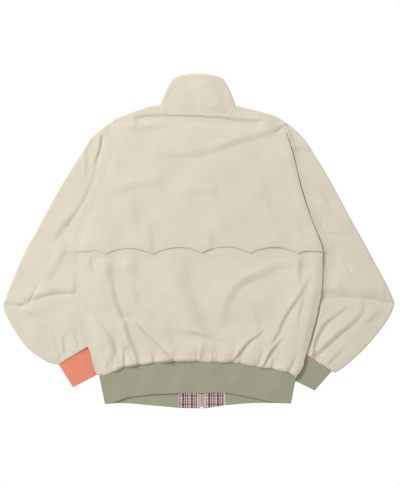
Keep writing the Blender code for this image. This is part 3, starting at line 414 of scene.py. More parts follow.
def patch(left, right, foot, head):
    """Grid of plan points that fills four edges (rows from foot to head)."""
    v = shares(len(left))[:, None, None]
    u = shares(len(foot))[None, :, None]
    sides = left[:, None] * (1 - u) + right[:, None] * u
    ends = foot[None] * (1 - v) + head[None] * v
    corners = (foot[0] * (1 - u) * (1 - v) + foot[-1] * u * (1 - v)
               + head[0] * (1 - u) * v + head[-1] * u * v)
    return sides + ends - corners


def inset(points, distance):
    """A plan curve moved to its left by a distance."""
    p = np.asarray(points, float)
    step = np.gradient(p, axis=0)
    step /= np.linalg.norm(step, axis=1)[:, None]
    return p + distance * np.stack([-step[:, 1], step[:, 0]], axis=-1)


# ---- heights -------------------------------------------------------------------------------
def line_distance(points, x, y):
    """Distance from plan points to a polyline."""
    best = np.full_like(x, 1e9)
    for a, b in zip(points, points[1:]):
        dx, dy = b.x - a.x, b.y - a.y
        s = np.clip(((x - a.x) * dx + (y - a.y) * dy) / (dx * dx + dy * dy), 0, 1)
        best = np.minimum(best, np.hypot(x - a.x - s * dx, y - a.y - s * dy))
    return best


def body_lift(x, y):
    """How far the sleeves and cuffs under the body's sides raise it."""
    side = np.where(x < 0, -x_at(TUCK["left"], y), x_at(TUCK["right"], y))
    across = ease((np.abs(x) - side + TUCK_SLOPE + TUCK_MARGIN) / TUCK_SLOPE)
    return (TUCK_LIFT * across * ease((TUCK_HEAD - y) / TUCK_SLOPE)
            * ease((y - TUCK_FOOT) / TUCK_SLOPE))


# ---- materials -------------------------------------------------------------------------------
def linear(code):
    """A linear colour from an sRGB hex one."""
    parts = [int(code[i:i + 2], 16) / 255 for i in (1, 3, 5)]
    return tuple(c / 12.92 if c <= 0.04045 else ((c + 0.055) / 1.055) ** 2.4
                 for c in parts) + (1.0,)


def add(tree, kind, inputs=None, **settings):
    """Adds a node: settings are its properties, inputs its sockets' values or links."""
    made = tree.nodes.new(kind)
    for name, value in settings.items():
        setattr(made, name, value)
    for name, value in (inputs or {}).items():
        if isinstance(value, bpy.types.NodeSocket):
            tree.links.new(value, made.inputs[name])
        else:
            made.inputs[name].default_value = value
    return made


def finish_cloth(tree, colour, relief, depth, roughness, sheen):
    """The shader of a cloth: its colour, the height of its relief in metres, and its nap."""
    bump = add(tree, "ShaderNodeBump", {"Height": relief, "Distance": depth, "Strength": 1.0})
    shader = add(tree, "ShaderNodeBsdfPrincipled", {
        "Base Color": colour, "Roughness": roughness, "IOR": 1.5, "Specular IOR Level": 0.25,
        "Sheen Weight": sheen, "Sheen Roughness": 0.5, "Normal": bump.outputs[0]})
    add(tree, "ShaderNodeOutputMaterial", {"Surface": shader.outputs[0]})


def period(mm):
    """Scale of a wave texture whose bands lie this far apart."""
    return math.tau / 20.0 / (mm * MM)


def tone(tree, place, base, mottle_mm, amount):
    """A base colour made lighter and darker in soft patches."""
    patches = add(tree, "ShaderNodeTexNoise", {
        "Vector": place, "Scale": 1.0 / (mottle_mm * MM), "Detail": 3.0, "Roughness": 0.6},
        noise_dimensions="3D")
    ramp = add(tree, "ShaderNodeMapRange", {
        "Value": patches.outputs[0], "From Min": 0.3, "From Max": 0.7,
        "To Min": 1.0 - amount, "To Max": 1.0 + amount})
    grey = add(tree, "ShaderNodeCombineColor", {
        "Red": ramp.outputs[0], "Green": ramp.outputs[0], "Blue": ramp.outputs[0]})
    return add(tree, "ShaderNodeMixRGB", {"Fac": 1.0, "Color1": base, "Color2": grey.outputs[0]},
               blend_type="MULTIPLY").outputs[0]


DIAGONAL = 1.414            # a diagonal wave needs this much more scale for the same bands


def cotton_twill(tree):
    """Cotton twill, woven and washed: matte, with a fine diagonal line and a faint nap."""
    place = add(tree, "ShaderNodeTexCoord").outputs["Object"]
    # the twill's lines are 0.7 mm apart, and drawn at 1.6 mm so that they show
    lines = add(tree, "ShaderNodeTexWave", {
        "Vector": place, "Scale": period(1.6) * DIAGONAL, "Distortion": 1.2, "Detail": 2.0,
        "Detail Scale": 2.0}, wave_type="BANDS", bands_direction="DIAGONAL")
    slubs = add(tree, "ShaderNodeTexNoise", {
        "Vector": place, "Scale": 1.0 / (2.4 * MM), "Detail": 4.0, "Roughness": 0.7})
    relief = add(tree, "ShaderNodeMixRGB", {
        "Fac": 0.5, "Color1": lines.outputs["Color"], "Color2": slubs.outputs[0]})
    colour = tone(tree, place, linear("#E2D8C6"), 38.0, 0.02)
    colour = tone(tree, place, colour, 2.6, 0.022)
    finish_cloth(tree, colour, relief.outputs[0], 0.00008, 0.9, 0.15)


def rib_knit(tree, shade, heather):
    """Cotton rib knit: soft and matte, its ribs in the mesh and its loops in the bump."""
    place = add(tree, "ShaderNodeTexCoord").outputs["Object"]
    # the loops' rows are 1.1 mm apart, and drawn at 1.8 mm so that they show
    loops = add(tree, "ShaderNodeTexWave", {
        "Vector": place, "Scale": period(1.8), "Distortion": 2.5, "Detail": 2.0,
        "Detail Scale": 1.5}, wave_type="BANDS", bands_direction="Y")
    fuzz = add(tree, "ShaderNodeTexNoise", {
        "Vector": place, "Scale": 1.0 / (1.6 * MM), "Detail": 5.0, "Roughness": 0.75})
    relief = add(tree, "ShaderNodeMixRGB", {
        "Fac": 0.5, "Color1": loops.outputs["Color"], "Color2": fuzz.outputs[0]})
    colour = tone(tree, place, linear(shade), 30.0, 0.02)
    colour = tone(tree, place, colour, 1.8, heather)
    finish_cloth(tree, colour, relief.outputs[0], 0.0003, 0.95, 0.3)


def stripes(tree, along_axis, pitch_mm, at, width):
    """1 inside bands across an axis; at and width are shares of the pitch."""
    scaled = add(tree, "ShaderNodeMath", {0: along_axis, 1: 1.0 / (pitch_mm * MM)},
                 operation="MULTIPLY")
    moved = add(tree, "ShaderNodeMath", {0: scaled.outputs[0], 1: 0.5 - at}, operation="ADD")
    place = add(tree, "ShaderNodeMath", {0: moved.outputs[0]}, operation="FRACT")
    away = add(tree, "ShaderNodeMath", {0: place.outputs[0], 1: 0.5}, operation="SUBTRACT")
    size = add(tree, "ShaderNodeMath", {0: away.outputs[0]}, operation="ABSOLUTE")
    return add(tree, "ShaderNodeMath", {0: size.outputs[0], 1: width / 2},
               operation="LESS_THAN").outputs[0]


Stripe = namedtuple("Stripe", "colour at width strength")
CHECK_PITCH = 20.0          # repeat of the check, in millimetres
# stripes that run up the cloth
CHECK_WARP = rows_of(Stripe, ("#3B3038", 0.20, 0.24, 0.88), ("#9C3430", 0.47, 0.14, 0.88),
                          ("#4E3A60", 0.72, 0.17, 0.82), ("#B87A48", 0.92, 0.10, 0.8))
# stripes that run across it
CHECK_WEFT = rows_of(Stripe, ("#4A3A58", 0.22, 0.18, 0.55), ("#B4504A", 0.54, 0.12, 0.45),
                          ("#6A4A78", 0.82, 0.10, 0.5))


def checked_cotton(tree):
    """Plain-woven checked cotton: thin and matte, where dyed threads cross they mix."""
    place = add(tree, "ShaderNodeTexCoord").outputs["Object"]
    axes = add(tree, "ShaderNodeSeparateXYZ", {"Vector": place})
    colour = linear("#F2DED6")
    for axis, table in ((axes.outputs["X"], CHECK_WARP), (axes.outputs["Y"], CHECK_WEFT)):
        for s in table:
            band = stripes(tree, axis, CHECK_PITCH, s.at, s.width)
            part = add(tree, "ShaderNodeMath", {0: band, 1: s.strength}, operation="MULTIPLY")
            colour = add(tree, "ShaderNodeMixRGB", {
                "Fac": part.outputs[0], "Color1": colour, "Color2": linear(s.colour)}).outputs[0]
    # threads are 0.4 mm apart, and drawn at 1.0 mm so that they show
    warp, weft = (add(tree, "ShaderNodeTexWave", {
        "Vector": place, "Scale": period(1.0), "Distortion": 0.6},
        wave_type="BANDS", bands_direction=way) for way in ("X", "Y"))
    weave = add(tree, "ShaderNodeMixRGB", {
        "Fac": 0.5, "Color1": warp.outputs["Color"], "Color2": weft.outputs["Color"]})
    finish_cloth(tree, colour, weave.outputs[0], 0.0001, 0.9, 0.1)


def woven_tape(tree):
    """Woven polyester tape: a fine herringbone, a little smoother than the cotton."""
    place = add(tree, "ShaderNodeTexCoord").outputs["Object"]
    ribs = add(tree, "ShaderNodeTexWave", {
        "Vector": place, "Scale": period(1.0) * DIAGONAL, "Distortion": 0.4},
        wave_type="BANDS", bands_direction="DIAGONAL")
    colour = tone(tree, place, linear("#CDB6A6"), 2.0, 0.05)
    finish_cloth(tree, colour, ribs.outputs["Color"], 0.0001, 0.7, 0.1)


def moulded_coil(tree):
    """Drawn polyester coil: satin, beige, and darker down between its turns."""
    place = add(tree, "ShaderNodeTexCoord").outputs["Object"]
    colour = tone(tree, place, linear("#C4B2A0"), 1.5, 0.12)
    grain = add(tree, "ShaderNodeTexNoise", {"Vector": place, "Scale": 1.0 / (0.8 * MM)})
    finish_cloth(tree, colour, grain.outputs[0], 0.00003, 0.42, 0.0)


def sewing_thread(tree):
    """Spun polyester thread: a little brighter than the twill, with its twist in the bump."""
    place = add(tree, "ShaderNodeTexCoord").outputs["Object"]
    twist = add(tree, "ShaderNodeTexWave", {"Vector": place, "Scale": period(0.7)},
                wave_type="BANDS", bands_direction="DIAGONAL")
    colour = tone(tree, place, linear("#DDD5C2"), 1.2, 0.04)
    finish_cloth(tree, colour, twist.outputs["Color"], 0.00005, 0.6, 0.1)


def sage_knit(tree):
    """Sage green rib of the hem and one cuff."""
    rib_knit(tree, "#A9A890", 0.06)


def coral_knit(tree):
    """Coral rib of the other cuff."""
    rib_knit(tree, "#F3957A", 0.05)


Finish = namedtuple("Finish", "name nodes")
FINISHES = {
    "twill": Finish("cotton_twill", cotton_twill),
    "sage_rib": Finish("sage_cotton_rib", sage_knit),
    "coral_rib": Finish("coral_cotton_rib", coral_knit),
    "check": Finish("checked_cotton", checked_cotton),
    "tape": Finish("woven_polyester_tape", woven_tape),
    "coil": Finish("drawn_polyester_coil", moulded_coil),
    "thread": Finish("polyester_thread", sewing_thread),
}


def material(cloth):
    """The material of a cloth, made once."""
    finish = FINISHES[cloth]
    made = bpy.data.materials.get(finish.name)
    if made is None:
        made = bpy.data.materials.new(finish.name)
        made.use_nodes = True
        made.node_tree.nodes.clear()
        finish.nodes(made.node_tree)
    return made


# ---- walls of cloth --------------------------------------------------------------------------
SHARP_ANGLE = 50            # edges of a wall that turn by more degrees are drawn sharp


def normals(grid, closed):
    """Unit normals of a grid of points; its columns may close on themselves."""
    if closed:
        ring = np.concatenate([grid[:, -1:], grid, grid[:, :1]], axis=1)
        across = (ring[:, 2:] - ring[:, :-2]) / 2
    else:
        across = np.gradient(grid, axis=1)
    up = np.gradient(grid, axis=0)
    n = np.cross(across, up)
    return n / np.linalg.norm(n, axis=-1)[..., None]


def place_object(name, data):
    """A new object in the scene."""
    item = bpy.data.objects.new(name, data)
    bpy.context.scene.collection.objects.link(item)
    return item


def smooth_mesh(name, points, faces, cloth):
    """A smooth mesh of points in millimetres."""
    mesh = bpy.data.meshes.new(name)
    mesh.from_pydata((points * MM).tolist(), [], faces)
    mesh.shade_smooth()
    mesh.materials.append(material(cloth))
    return mesh


def wall(name, outer, inner, closed, cloth):
    """One closed solid between an outer and an inner grid of points."""
    rows, cols = outer.shape[:2]
    points = np.concatenate([outer.reshape(-1, 3), inner.reshape(-1, 3)])
    points[:, 2] = np.maximum(points[:, 2], 0.0)
    back = rows * cols

    def at(r, c, layer):
        return layer * back + r * cols + c % cols

    faces = []
    spans = cols if closed else cols - 1
    for r in range(rows - 1):
        for c in range(spans):
            faces.append((at(r, c, 0), at(r, c + 1, 0), at(r + 1, c + 1, 0), at(r + 1, c, 0)))
            faces.append((at(r, c, 1), at(r + 1, c, 1), at(r + 1, c + 1, 1), at(r, c + 1, 1)))
    for c in range(spans):
        faces.append((at(0, c, 0), at(0, c, 1), at(0, c + 1, 1), at(0, c + 1, 0)))
        last = rows - 1
        faces.append((at(last, c, 0), at(last, c + 1, 0), at(last, c + 1, 1), at(last, c, 1)))
    if not closed:
        for r in range(rows - 1):
            faces.append((at(r, 0, 0), at(r + 1, 0, 0), at(r + 1, 0, 1), at(r, 0, 1)))
            end = cols - 1
            faces.append((at(r, end, 0), at(r, end, 1), at(r + 1, end, 1), at(r + 1, end, 0)))

    mesh = smooth_mesh(name, points, faces, cloth)
    mesh.set_sharp_from_angle(angle=math.radians(SHARP_ANGLE))
    return place_object(name, mesh)


def shell(name, grid, thickness, closed, cloth):
    """A closed wall of cloth under a grid of outer points."""
    return wall(name, grid, grid - thickness * normals(grid, closed), closed, cloth)


# ---- faces of the cloth ----------------------------------------------------------------------
END_REACH = 1.2             # how far a crease goes on past its ends, in widths
SWELL_START = 0.2           # the swell starts this share of its rise before the trough's middle
SHARP_WIDTHS = (3.0, 6.0)   # a narrow crease is a fold, and a wide one is round
SHARPNESS = (1.05, 1.7)


def crease_height(table, x, y):
    """Sum of the creases' heights at plan points.

    A crease falls steeply on the side that gravity and wear have pressed, up and to the left,
    and rises slowly on the other.
    """
    total = np.zeros_like(x)
    for c in table:
        path = curve(c.path, shares(3 * len(c.path)))
        step = np.diff(path, axis=0)
        length = np.linalg.norm(step, axis=1)
        run = np.r_[0.0, np.cumsum(length)]
        margin = 3.0 * max(c.width, c.reach) + abs(c.shift)
        low, high = path.min(axis=0) - margin, path.max(axis=0) + margin
        near = (x > low[0]) & (x < high[0]) & (y > low[1]) & (y < high[1])
        if not near.any():
            continue
        px, py = x[near], y[near]
        best = np.full_like(px, 1e9)
        across, at, beyond = np.zeros_like(px), np.zeros_like(px), np.zeros_like(px)
        for i, (a, d, size) in enumerate(zip(path, step, length)):
            ux, uy = d / size
            s = (px - a[0]) * ux + (py - a[1]) * uy
            side = ux * (py - a[1]) - uy * (px - a[0])
            over = np.maximum(np.maximum(-s, s - size), 0.0)
            away = np.hypot(over, side)
            nearer = away < best
            best = np.where(nearer, away, best)
            across = np.where(nearer, side, across)
            at = np.where(nearer, (run[i] + np.clip(s, 0, size)) / run[-1], at)
            beyond = np.where(nearer, over, beyond)
        strength = CREASING * np.interp(at, [0.0, 0.5, 1.0], [c.k0, c.k1, c.k2])
        strength = strength * bell(beyond, END_REACH * max(c.width, c.reach / 2))
        way = path[-1] - path[0]
        steep_left = -way[1] * STEEP_SIDE.x + way[0] * STEEP_SIDE.y > 0
        steep = (across > 0) == steep_left
        width = c.width * np.where(steep, STEEP_WIDTH, SLOW_WIDTH)
        sharp = np.interp(c.width, SHARP_WIDTHS, SHARPNESS)
        trough = -c.depth * np.exp(-(np.abs(across) / width) ** sharp)
        rise, over = abs(c.shift), across * math.copysign(1.0, c.shift)
        swell = (c.ridge * ease((over + SWELL_START * rise) / ((1 + SWELL_START) * rise))
                 * np.exp(-np.maximum(over - rise, 0.0) / c.reach))
        total[near] += strength * (trough + swell)
    return total


# slow unevenness of each cloth: its size, how much closer together its waves are, and a seed
Uneven = namedtuple("Uneven", "size closer seed")
UNEVEN = {
    "back": Uneven(0.9, 1.0, 3), "yoke": Uneven(0.7, 1.0, 5), "front": Uneven(0.25, 1.0, 21),
    "sleeve_left": Uneven(0.6, 1.0, 7), "sleeve_right": Uneven(0.6, 1.0, 8),
    "hem_tab": Uneven(0.8, 1.0, 31), "facing": Uneven(0.8, 1.0, 33),
    "hem": Uneven(0.6, 1.8, 61), "collar": Uneven(0.5, 1.5, 71), "tape": Uneven(0.05, 1.0, 81),
}
WAVES = 9
SHORT_WAVE = 38
LONG_WAVE = 120


def ripple(cloth, x, y):
    """Slow unevenness of a cloth that lies loosely."""
    uneven = UNEVEN[cloth]
    x, y = x * uneven.closer, y * uneven.closer
    chance = np.random.default_rng(uneven.seed)
    total = np.zeros_like(x)
    for _ in range(WAVES):
        wave = chance.uniform(SHORT_WAVE, LONG_WAVE)
        turn, phase = chance.uniform(0, math.tau, 2)
        across = x * math.cos(turn) + y * math.sin(turn)
        total += np.sin(across * math.tau / wave + phase) * wave / LONG_WAVE
    return total * uneven.size / 2


FOLD_GAP = 2.0              # folds of the back start this far below the yoke's edge
BLOUSE_RIGHT = 30.0         # the air reaches this much nearer the right edge
PINCH_START = 4.0           # a pinch is a trough from so far above the foot
PINCH_SLOPE = 8.0
TURN_AT_PINCH = 0.75        # the foot turns down within less of FOOT_TURN at a pinch
TURN_ON_SWELL = 0.4         # and takes this much more of it on a swell


def back_height(x, y, foot_distance, swell, reach, depth):
    """Upper face of the lower back; the last four say where the gathers are."""
    below_yoke = ease((SCALLOP_Y - FOLD_GAP - y) / FOLD_FADE)
    from_left, from_right = x - x_at(SIDE["left"], y), x_at(SIDE["right"], y) - x
    air = ease(from_left / BLOUSE_SIDE) * ease((from_right + BLOUSE_RIGHT) / BLOUSE_SIDE)
    loose = (BLOUSE * ease((BLOUSE_FROM - y) / BLOUSE_SLOPE) * air
             + crease_height(BACK_CREASES, x, y) + ripple("back", x, y))
    over_rib = OVER_RIB * ease(1 - foot_distance / RIB_FADE)
    pinch = depth * (1 - swell) * ease((foot_distance - PINCH_START) / PINCH_SLOPE)
    gathers = ((PUFF + depth) * swell - pinch) * np.exp(-foot_distance / reach)
    gathers += crease_height(small_gathers(), x, y)
    height = np.maximum(BACK_LEVEL + below_yoke * loose + over_rib + gathers, BACK_UNDER)
    turn = FOOT_TURN * (TURN_AT_PINCH + TURN_ON_SWELL * swell)
    t = np.clip(foot_distance / turn, 0.0, 1.0)
    height = FOOT_LEVEL + (height - FOOT_LEVEL) * np.sqrt(t * (2.0 - t))
    return body_lift(x, y) + height


def scallop_y(x):
    """Lower edge of the yoke: arcs between points that hang down, flatter at the sides."""
    t = (x - SCALLOP_START) / SCALLOP_PITCH
    arc = 4.0 * (t % 1.0) * (1.0 - t % 1.0)
    full = ease((x - FULL_LEFT) / FULL_LEFT_SLOPE) * ease((FULL_RIGHT - x) / FULL_RIGHT_SLOPE)
    level = SCALLOP_Y + SCALLOP_SKEW * ease((x - SKEW_FROM) / SKEW_SLOPE)
    return level + SCALLOP_RISE * arc * (SIDE_ARC + (1 - SIDE_ARC) * full)


COLLAR_STEPS = 170
FOOT_MIDDLE = 66.0          # the middle of the foot is settled otherwise than its corners
FOOT_SLOPE = 25.0
FOOT_DOWN = 0.2
CORNER_DOWN = 0.75
FOOT_UP_BACK = 3.6          # and lies further up the back


def collar_line():
    """The collar's foot and its upper edge, from one front end round the back to the other."""
    def mirrored(s):
        return s._replace(x_base=-s.x_base, x_top=-s.x_top)
    stations = [mirrored(s) for s in COLLAR_HALF] + [COLLAR_MIDDLE] + COLLAR_HALF[::-1]
    fine = densify([tuple(s) for s in stations], COLLAR_STEPS)
    base, top = fine[:, [0, 1, 4]], fine[:, [2, 3, 5]]
    base[:, 0] += COLLAR_SHIFT
    top[:, 0] += COLLAR_SHIFT
    on_back = base[:, 2] > COLLAR_LOWER
    middle = ease((FOOT_MIDDLE - np.abs(base[:, 0])) / FOOT_SLOPE)
    base[on_back, 2] -= (FOOT_DOWN * middle + CORNER_DOWN * (1 - middle))[on_back]
    base[on_back, 1] += (FOOT_UP_BACK * middle)[on_back]
    return base, top


def collar_foot(x):
    """Where the collar's foot lies on the back: y and height at a place across."""
    base = collar_line()[0]
    base = base[(base[:, 2] > COLLAR_LOWER) & (base[:, 1] < COLLAR_TURN)]
    base = base[np.argsort(base[:, 0])]
    return np.interp(x, base[:, 0], base[:, 1]), np.interp(x, base[:, 0], base[:, 2])


YOKE_CALM = 0.3             # share of the folds that goes on to the yoke's lower edge
YOKE_FOLD_GAP = 6.0         # and how far above the edge the rest begins
PUFF_IN = 10.0              # the swell along the right edge: its place and its width
PUFF_WIDTH = 15.0
SCALLOP_LIFT = 0.25         # the edge stands off the back in the arcs and touches it between
LIFT_REACH = 16.0
YOKE_EDGE_IN = 3.0          # the left edge comes to its own height within this strip
YOKE_EDGE_SLOPE = 26.0
Puff = namedtuple("Puff", "y high")
# how far the yoke swells along its right edge, up the body
YOKE_PUFF = rows_of(Puff, (-40, 1.2), (0, 0.8), (45, 1.4), (90, 2.8), (150, 3.2), (200, 3.2),
                          (250, 0.4))


def yoke_height(x, y):
    """Upper face of the yoke."""
    above = ease((y - SETTLE_FROM) / TUCK_SLOPE)
    middle = ease((SETTLE_SIDE - np.abs(x)) / SETTLE_SLOPE)
    inside = ease((y - SCALLOP_Y - YOKE_FOLD_GAP) / FOLD_FADE)
    folded = YOKE_CALM + (1 - YOKE_CALM) * inside
    loose = folded * crease_height(YOKE_CREASES, x, y) + ripple("yoke", x, y)
    right_edge = x_at(ARMHOLE["right"], y) - x
    puffed = np.interp(y, *zip(*YOKE_PUFF))
    puffed *= bell(right_edge - PUFF_IN, PUFF_WIDTH)
    left_edge = x - x_at(ARMHOLE["left"], y)
    from_edge = y - scallop_y(x)
    t = (x - SCALLOP_START) / SCALLOP_PITCH % 1.0
    lift = SCALLOP_LIFT * np.sin(math.pi * t) ** 2 * np.exp(-from_edge / LIFT_REACH)
    height = body_lift(x, y) + YOKE_LEVEL - YOKE_SETTLE * above * middle + loose + puffed + lift
    edge = ease(1 - (left_edge - YOKE_EDGE_IN) / YOKE_EDGE_SLOPE)
    return height * (1 - edge) + yoke_edge(x, y) * edge


def outside(side, x, y):
    """Distance of plan points beyond the armhole and the body's side."""
    return SIGN[side] * (x - x_at(ARMHOLE[side] + SIDE[side][:-1], y))


Rise = namedtuple("Rise", "start slope")
SLEEVE_RISE = {             # how far beyond the body's edge a sleeve comes up
    "left": Rise(-3.8, 2.4), "right": Rise(1.0, 5.0)}
RISE_ABOVE = Rise(-0.5, 2.4)    # and the right one above this place
ABOVE_FROM = -165.0
ABOVE_SLOPE = 20.0
CORNER_IN = 1.7             # it does so further in at the yoke's left corner
CORNER_Y = -30.0
CORNER_REACH = 9.0

YOKE_EDGE = 5.6             # the left edge's height, and how it rises up the body
YOKE_EDGE_RISE = 0.9
RISE_FROM = 10.0
RISE_SLOPE = 50.0
BESIDE_IN = 4.0             # heights beside the body are taken this far in from its edge
ON_YOKE_FROM = -8.0
ON_YOKE_SLOPE = 12.0


def yoke_edge(x, y):
    """Height of the yoke's left edge."""
    return body_lift(x, y) + YOKE_EDGE + YOKE_EDGE_RISE * ease((y - RISE_FROM) / RISE_SLOPE)


def left_level(y):
    """Height of the body's left edge, from the hem to the shoulder."""
    x = x_at(ARMHOLE["left"] + SIDE["left"][:-1], y) + BESIDE_IN
    on_yoke = ease((y - scallop_y(x) - ON_YOKE_FROM) / ON_YOKE_SLOPE)
    return (body_lift(x, y) + BACK_EDGE) * (1 - on_yoke) + yoke_edge(x, y) * on_yoke


Beside = namedtuple("Beside", "y high reach sunk")
# swell of the right sleeve along the body, up the body
RIGHT_SLEEVE = rows_of(Beside, (-400, 0.0, 8.0, 0.0), (-138, 0.4, 8.0, 0.6), (-130, 6.6, 8.0, 6.6),
                            (-40, 7.2, 8.0, 7.4), (-4, 4.2, 8.0, 4.2), (185, 2.6, 7.0, 2.2),
                            (205, 5.6, 10.0, 3.0), (245, 5.6, 10.0, 2.6), (262, 3.0, 8.0, 2.0),
                            (300, 2.2, 7.0, 2.0))
SUNK_REACH = 46.0
RIGHT_LOWER = 1.2           # the right sleeve lies lower under the yoke
LEFT_BESIDE = 28.0          # the left one leaves the body's level within this reach
STEADY = Rise(-2.0, 12.0)   # and has its folds from here
LEAST_AIR = 0.6             # between the walls of a flattened sleeve
ELBOW_SUNK = {"left": 0.0, "right": 0.9}    # how far the cloth sinks towards the elbow's fold
SUNK_ABOVE = 38.0                           # and from how far above and below the fold
SUNK_BELOW = 2.2


def sleeve_height(side, x, y):
    """Upper face of a sleeve."""
    rise = SLEEVE_AT_YOKE - SLEEVE_TUCKED - (RIGHT_LOWER if side == "right" else 0.0)
    tucked = SLEEVE_TUCKED + rise * ease((y - YOKE_RISE_FROM) / TUCK_SLOPE)
    rise_at = SLEEVE_RISE[side]
    beyond = outside(side, x, y)
    corner = CORNER_IN * bell(y - CORNER_Y, CORNER_REACH) * (side == "left")
    free = ease((beyond + corner - rise_at.start) / rise_at.slope)
    if side == "left":      # flush with the yoke and the body
        beside = left_level(y) - EDGE_STEP - SLEEVE_HEIGHT
        beside *= bell(np.maximum(beyond, 0.0), LEFT_BESIDE)
        steady = ease((beyond - STEADY.start) / STEADY.slope)
    else:                   # it falls away from under the body
        ys, high, reach, sunk = (np.array(c) for c in zip(*RIGHT_SLEEVE))
        away = np.maximum(beyond, 0.0)
        beside = (np.interp(y, ys, high) * np.exp(-away / np.interp(y, ys, reach))
                  - np.interp(y, ys, sunk) * bell(away, SUNK_REACH))
        above = ease((y - ABOVE_FROM) / ABOVE_SLOPE)
        free = free * (1 - above) + above * ease((beyond - RISE_ABOVE.start) / RISE_ABOVE.slope)
        steady = 1.0
    line = sorted(ELBOW[side])
    below = np.interp(x, *zip(*line)) - y
    wide = GROOVE_WIDTH * np.where(below > 0, SLOW_WIDTH, STEEP_WIDTH)
    groove = -GROOVE_DEPTH * bell(line_distance(line, x, y), wide)
    reach = np.where(below < 0, SUNK_ABOVE, SUNK_BELOW)
    overhang = -ELBOW_SUNK[side] * bell(below, reach)
    loose = crease_height(SLEEVE_CREASES[side], x, y) + ripple(f"sleeve_{side}", x, y)
    shape = SLEEVE_HEIGHT - tucked + beside + steady * loose + groove + overhang
    return np.maximum(tucked + free * shape, 2 * CLOTH + LEAST_AIR)


def level_way(step):
    """A unit step, or a row of them, with no rise."""
    step = step * (1.0, 1.0, 0.0)
    return step / np.linalg.norm(step, axis=-1, keepdims=True)


def roll_sides(grid, reach, drop_left, drop_right, turns=(18, 36, 54, 72, 90)):
    """More columns at each side, round and down; each drop is one number, or one a row."""
    def roll(edge, before, drop):
        out = level_way(edge - before)
        turned = []
        for angle in turns:
            a = math.radians(angle)
            point = edge + reach * math.sin(a) * out
            point[:, 2] -= drop * (1 - math.cos(a))
            turned.append(point[:, None])
        return turned
    left = roll(grid[:, 0], grid[:, 1], drop_left)
    right = roll(grid[:, -1], grid[:, -2], drop_right)
    return np.concatenate(left[::-1] + [grid] + right, axis=1)


def steps(length, spacing=GRID):
    """How many points fill a length."""
    return max(2, round(length / spacing)) + 1


def densify(values, count):
    """A smooth curve through rows of numbers, with count points."""
    return curve(values, shares(count))


# ---- the back --------------------------------------------------------------------------------
YOKE_WIDTH = 577
YOKE_LENGTH = 340
YOKE_ROLL = 2.0             # the yoke's sides turn down within this width, and so far
YOKE_DOWN_LEFT = 0.3
YOKE_DOWN_RIGHT = 0.4
ARMHOLE_DOWN = 2.0          # and more beside the armhole, as far up as this
ARMHOLE_HEAD = 235.0
ARMHOLE_SLOPE = 30.0
SHOULDER_SHARE = 0.21       # share of the columns that ends at each shoulder
SEAM_SLOPE = 9.0            # the yoke comes to the level of the collar's foot within this
SOFT_FLOOR = 0.6            # how softly troughs end at the least height
SHOULDER_SLOPE = 26.0       # the shoulders slope down from so far, and so far down
SHOULDER_LOW = 1.2
SHOULDER_IN = 10.0
SHOULDER_TURNS = (15, 30, 45, 60, 75, 90)
ROLL_FROM = 2.0             # they roll from just inside the neck to SHOULDER_END
ROLL_SLOPE = 8.0
SHOULDER_END = 208.0
SHOULDER_END_SLOPE = 14.0
LEVEL_ROLL = 0.15           # share of the roll's width that the neck part has
SEAM_MARGIN = 2.0           # the collar's seam ends this far beyond the neck
NO_SEAM = 100.0             # a distance from the seam that counts as far away
CREASE_OVER = 1.0           # the neck's crease ends this far over the seam
CREASE_SLOPE = 2.0


def roll_shoulders(grid, wide):
    """More rows at the yoke's head; wide is how far each column is from the middle.

    The shoulders roll down to the front, and the neck part stays level under the collar.
    """
    rolls = (ease((wide - NECK_HALF + ROLL_FROM) / ROLL_SLOPE)
             * ease((SHOULDER_END - wide) / SHOULDER_END_SLOPE))
    out = level_way(grid[-1] - grid[-2])
    turned = [grid]
    for angle in SHOULDER_TURNS:
        a = math.radians(angle)
        reach = SHOULDER_ROLL * math.sin(a) * (LEVEL_ROLL + (1 - LEVEL_ROLL) * rolls)
        row = grid[-1] + reach[:, None] * out
        row[:, 2] -= SHOULDER_DROP * (1 - math.cos(a)) * rolls
        turned.append(row[None])
    return np.concatenate(turned)


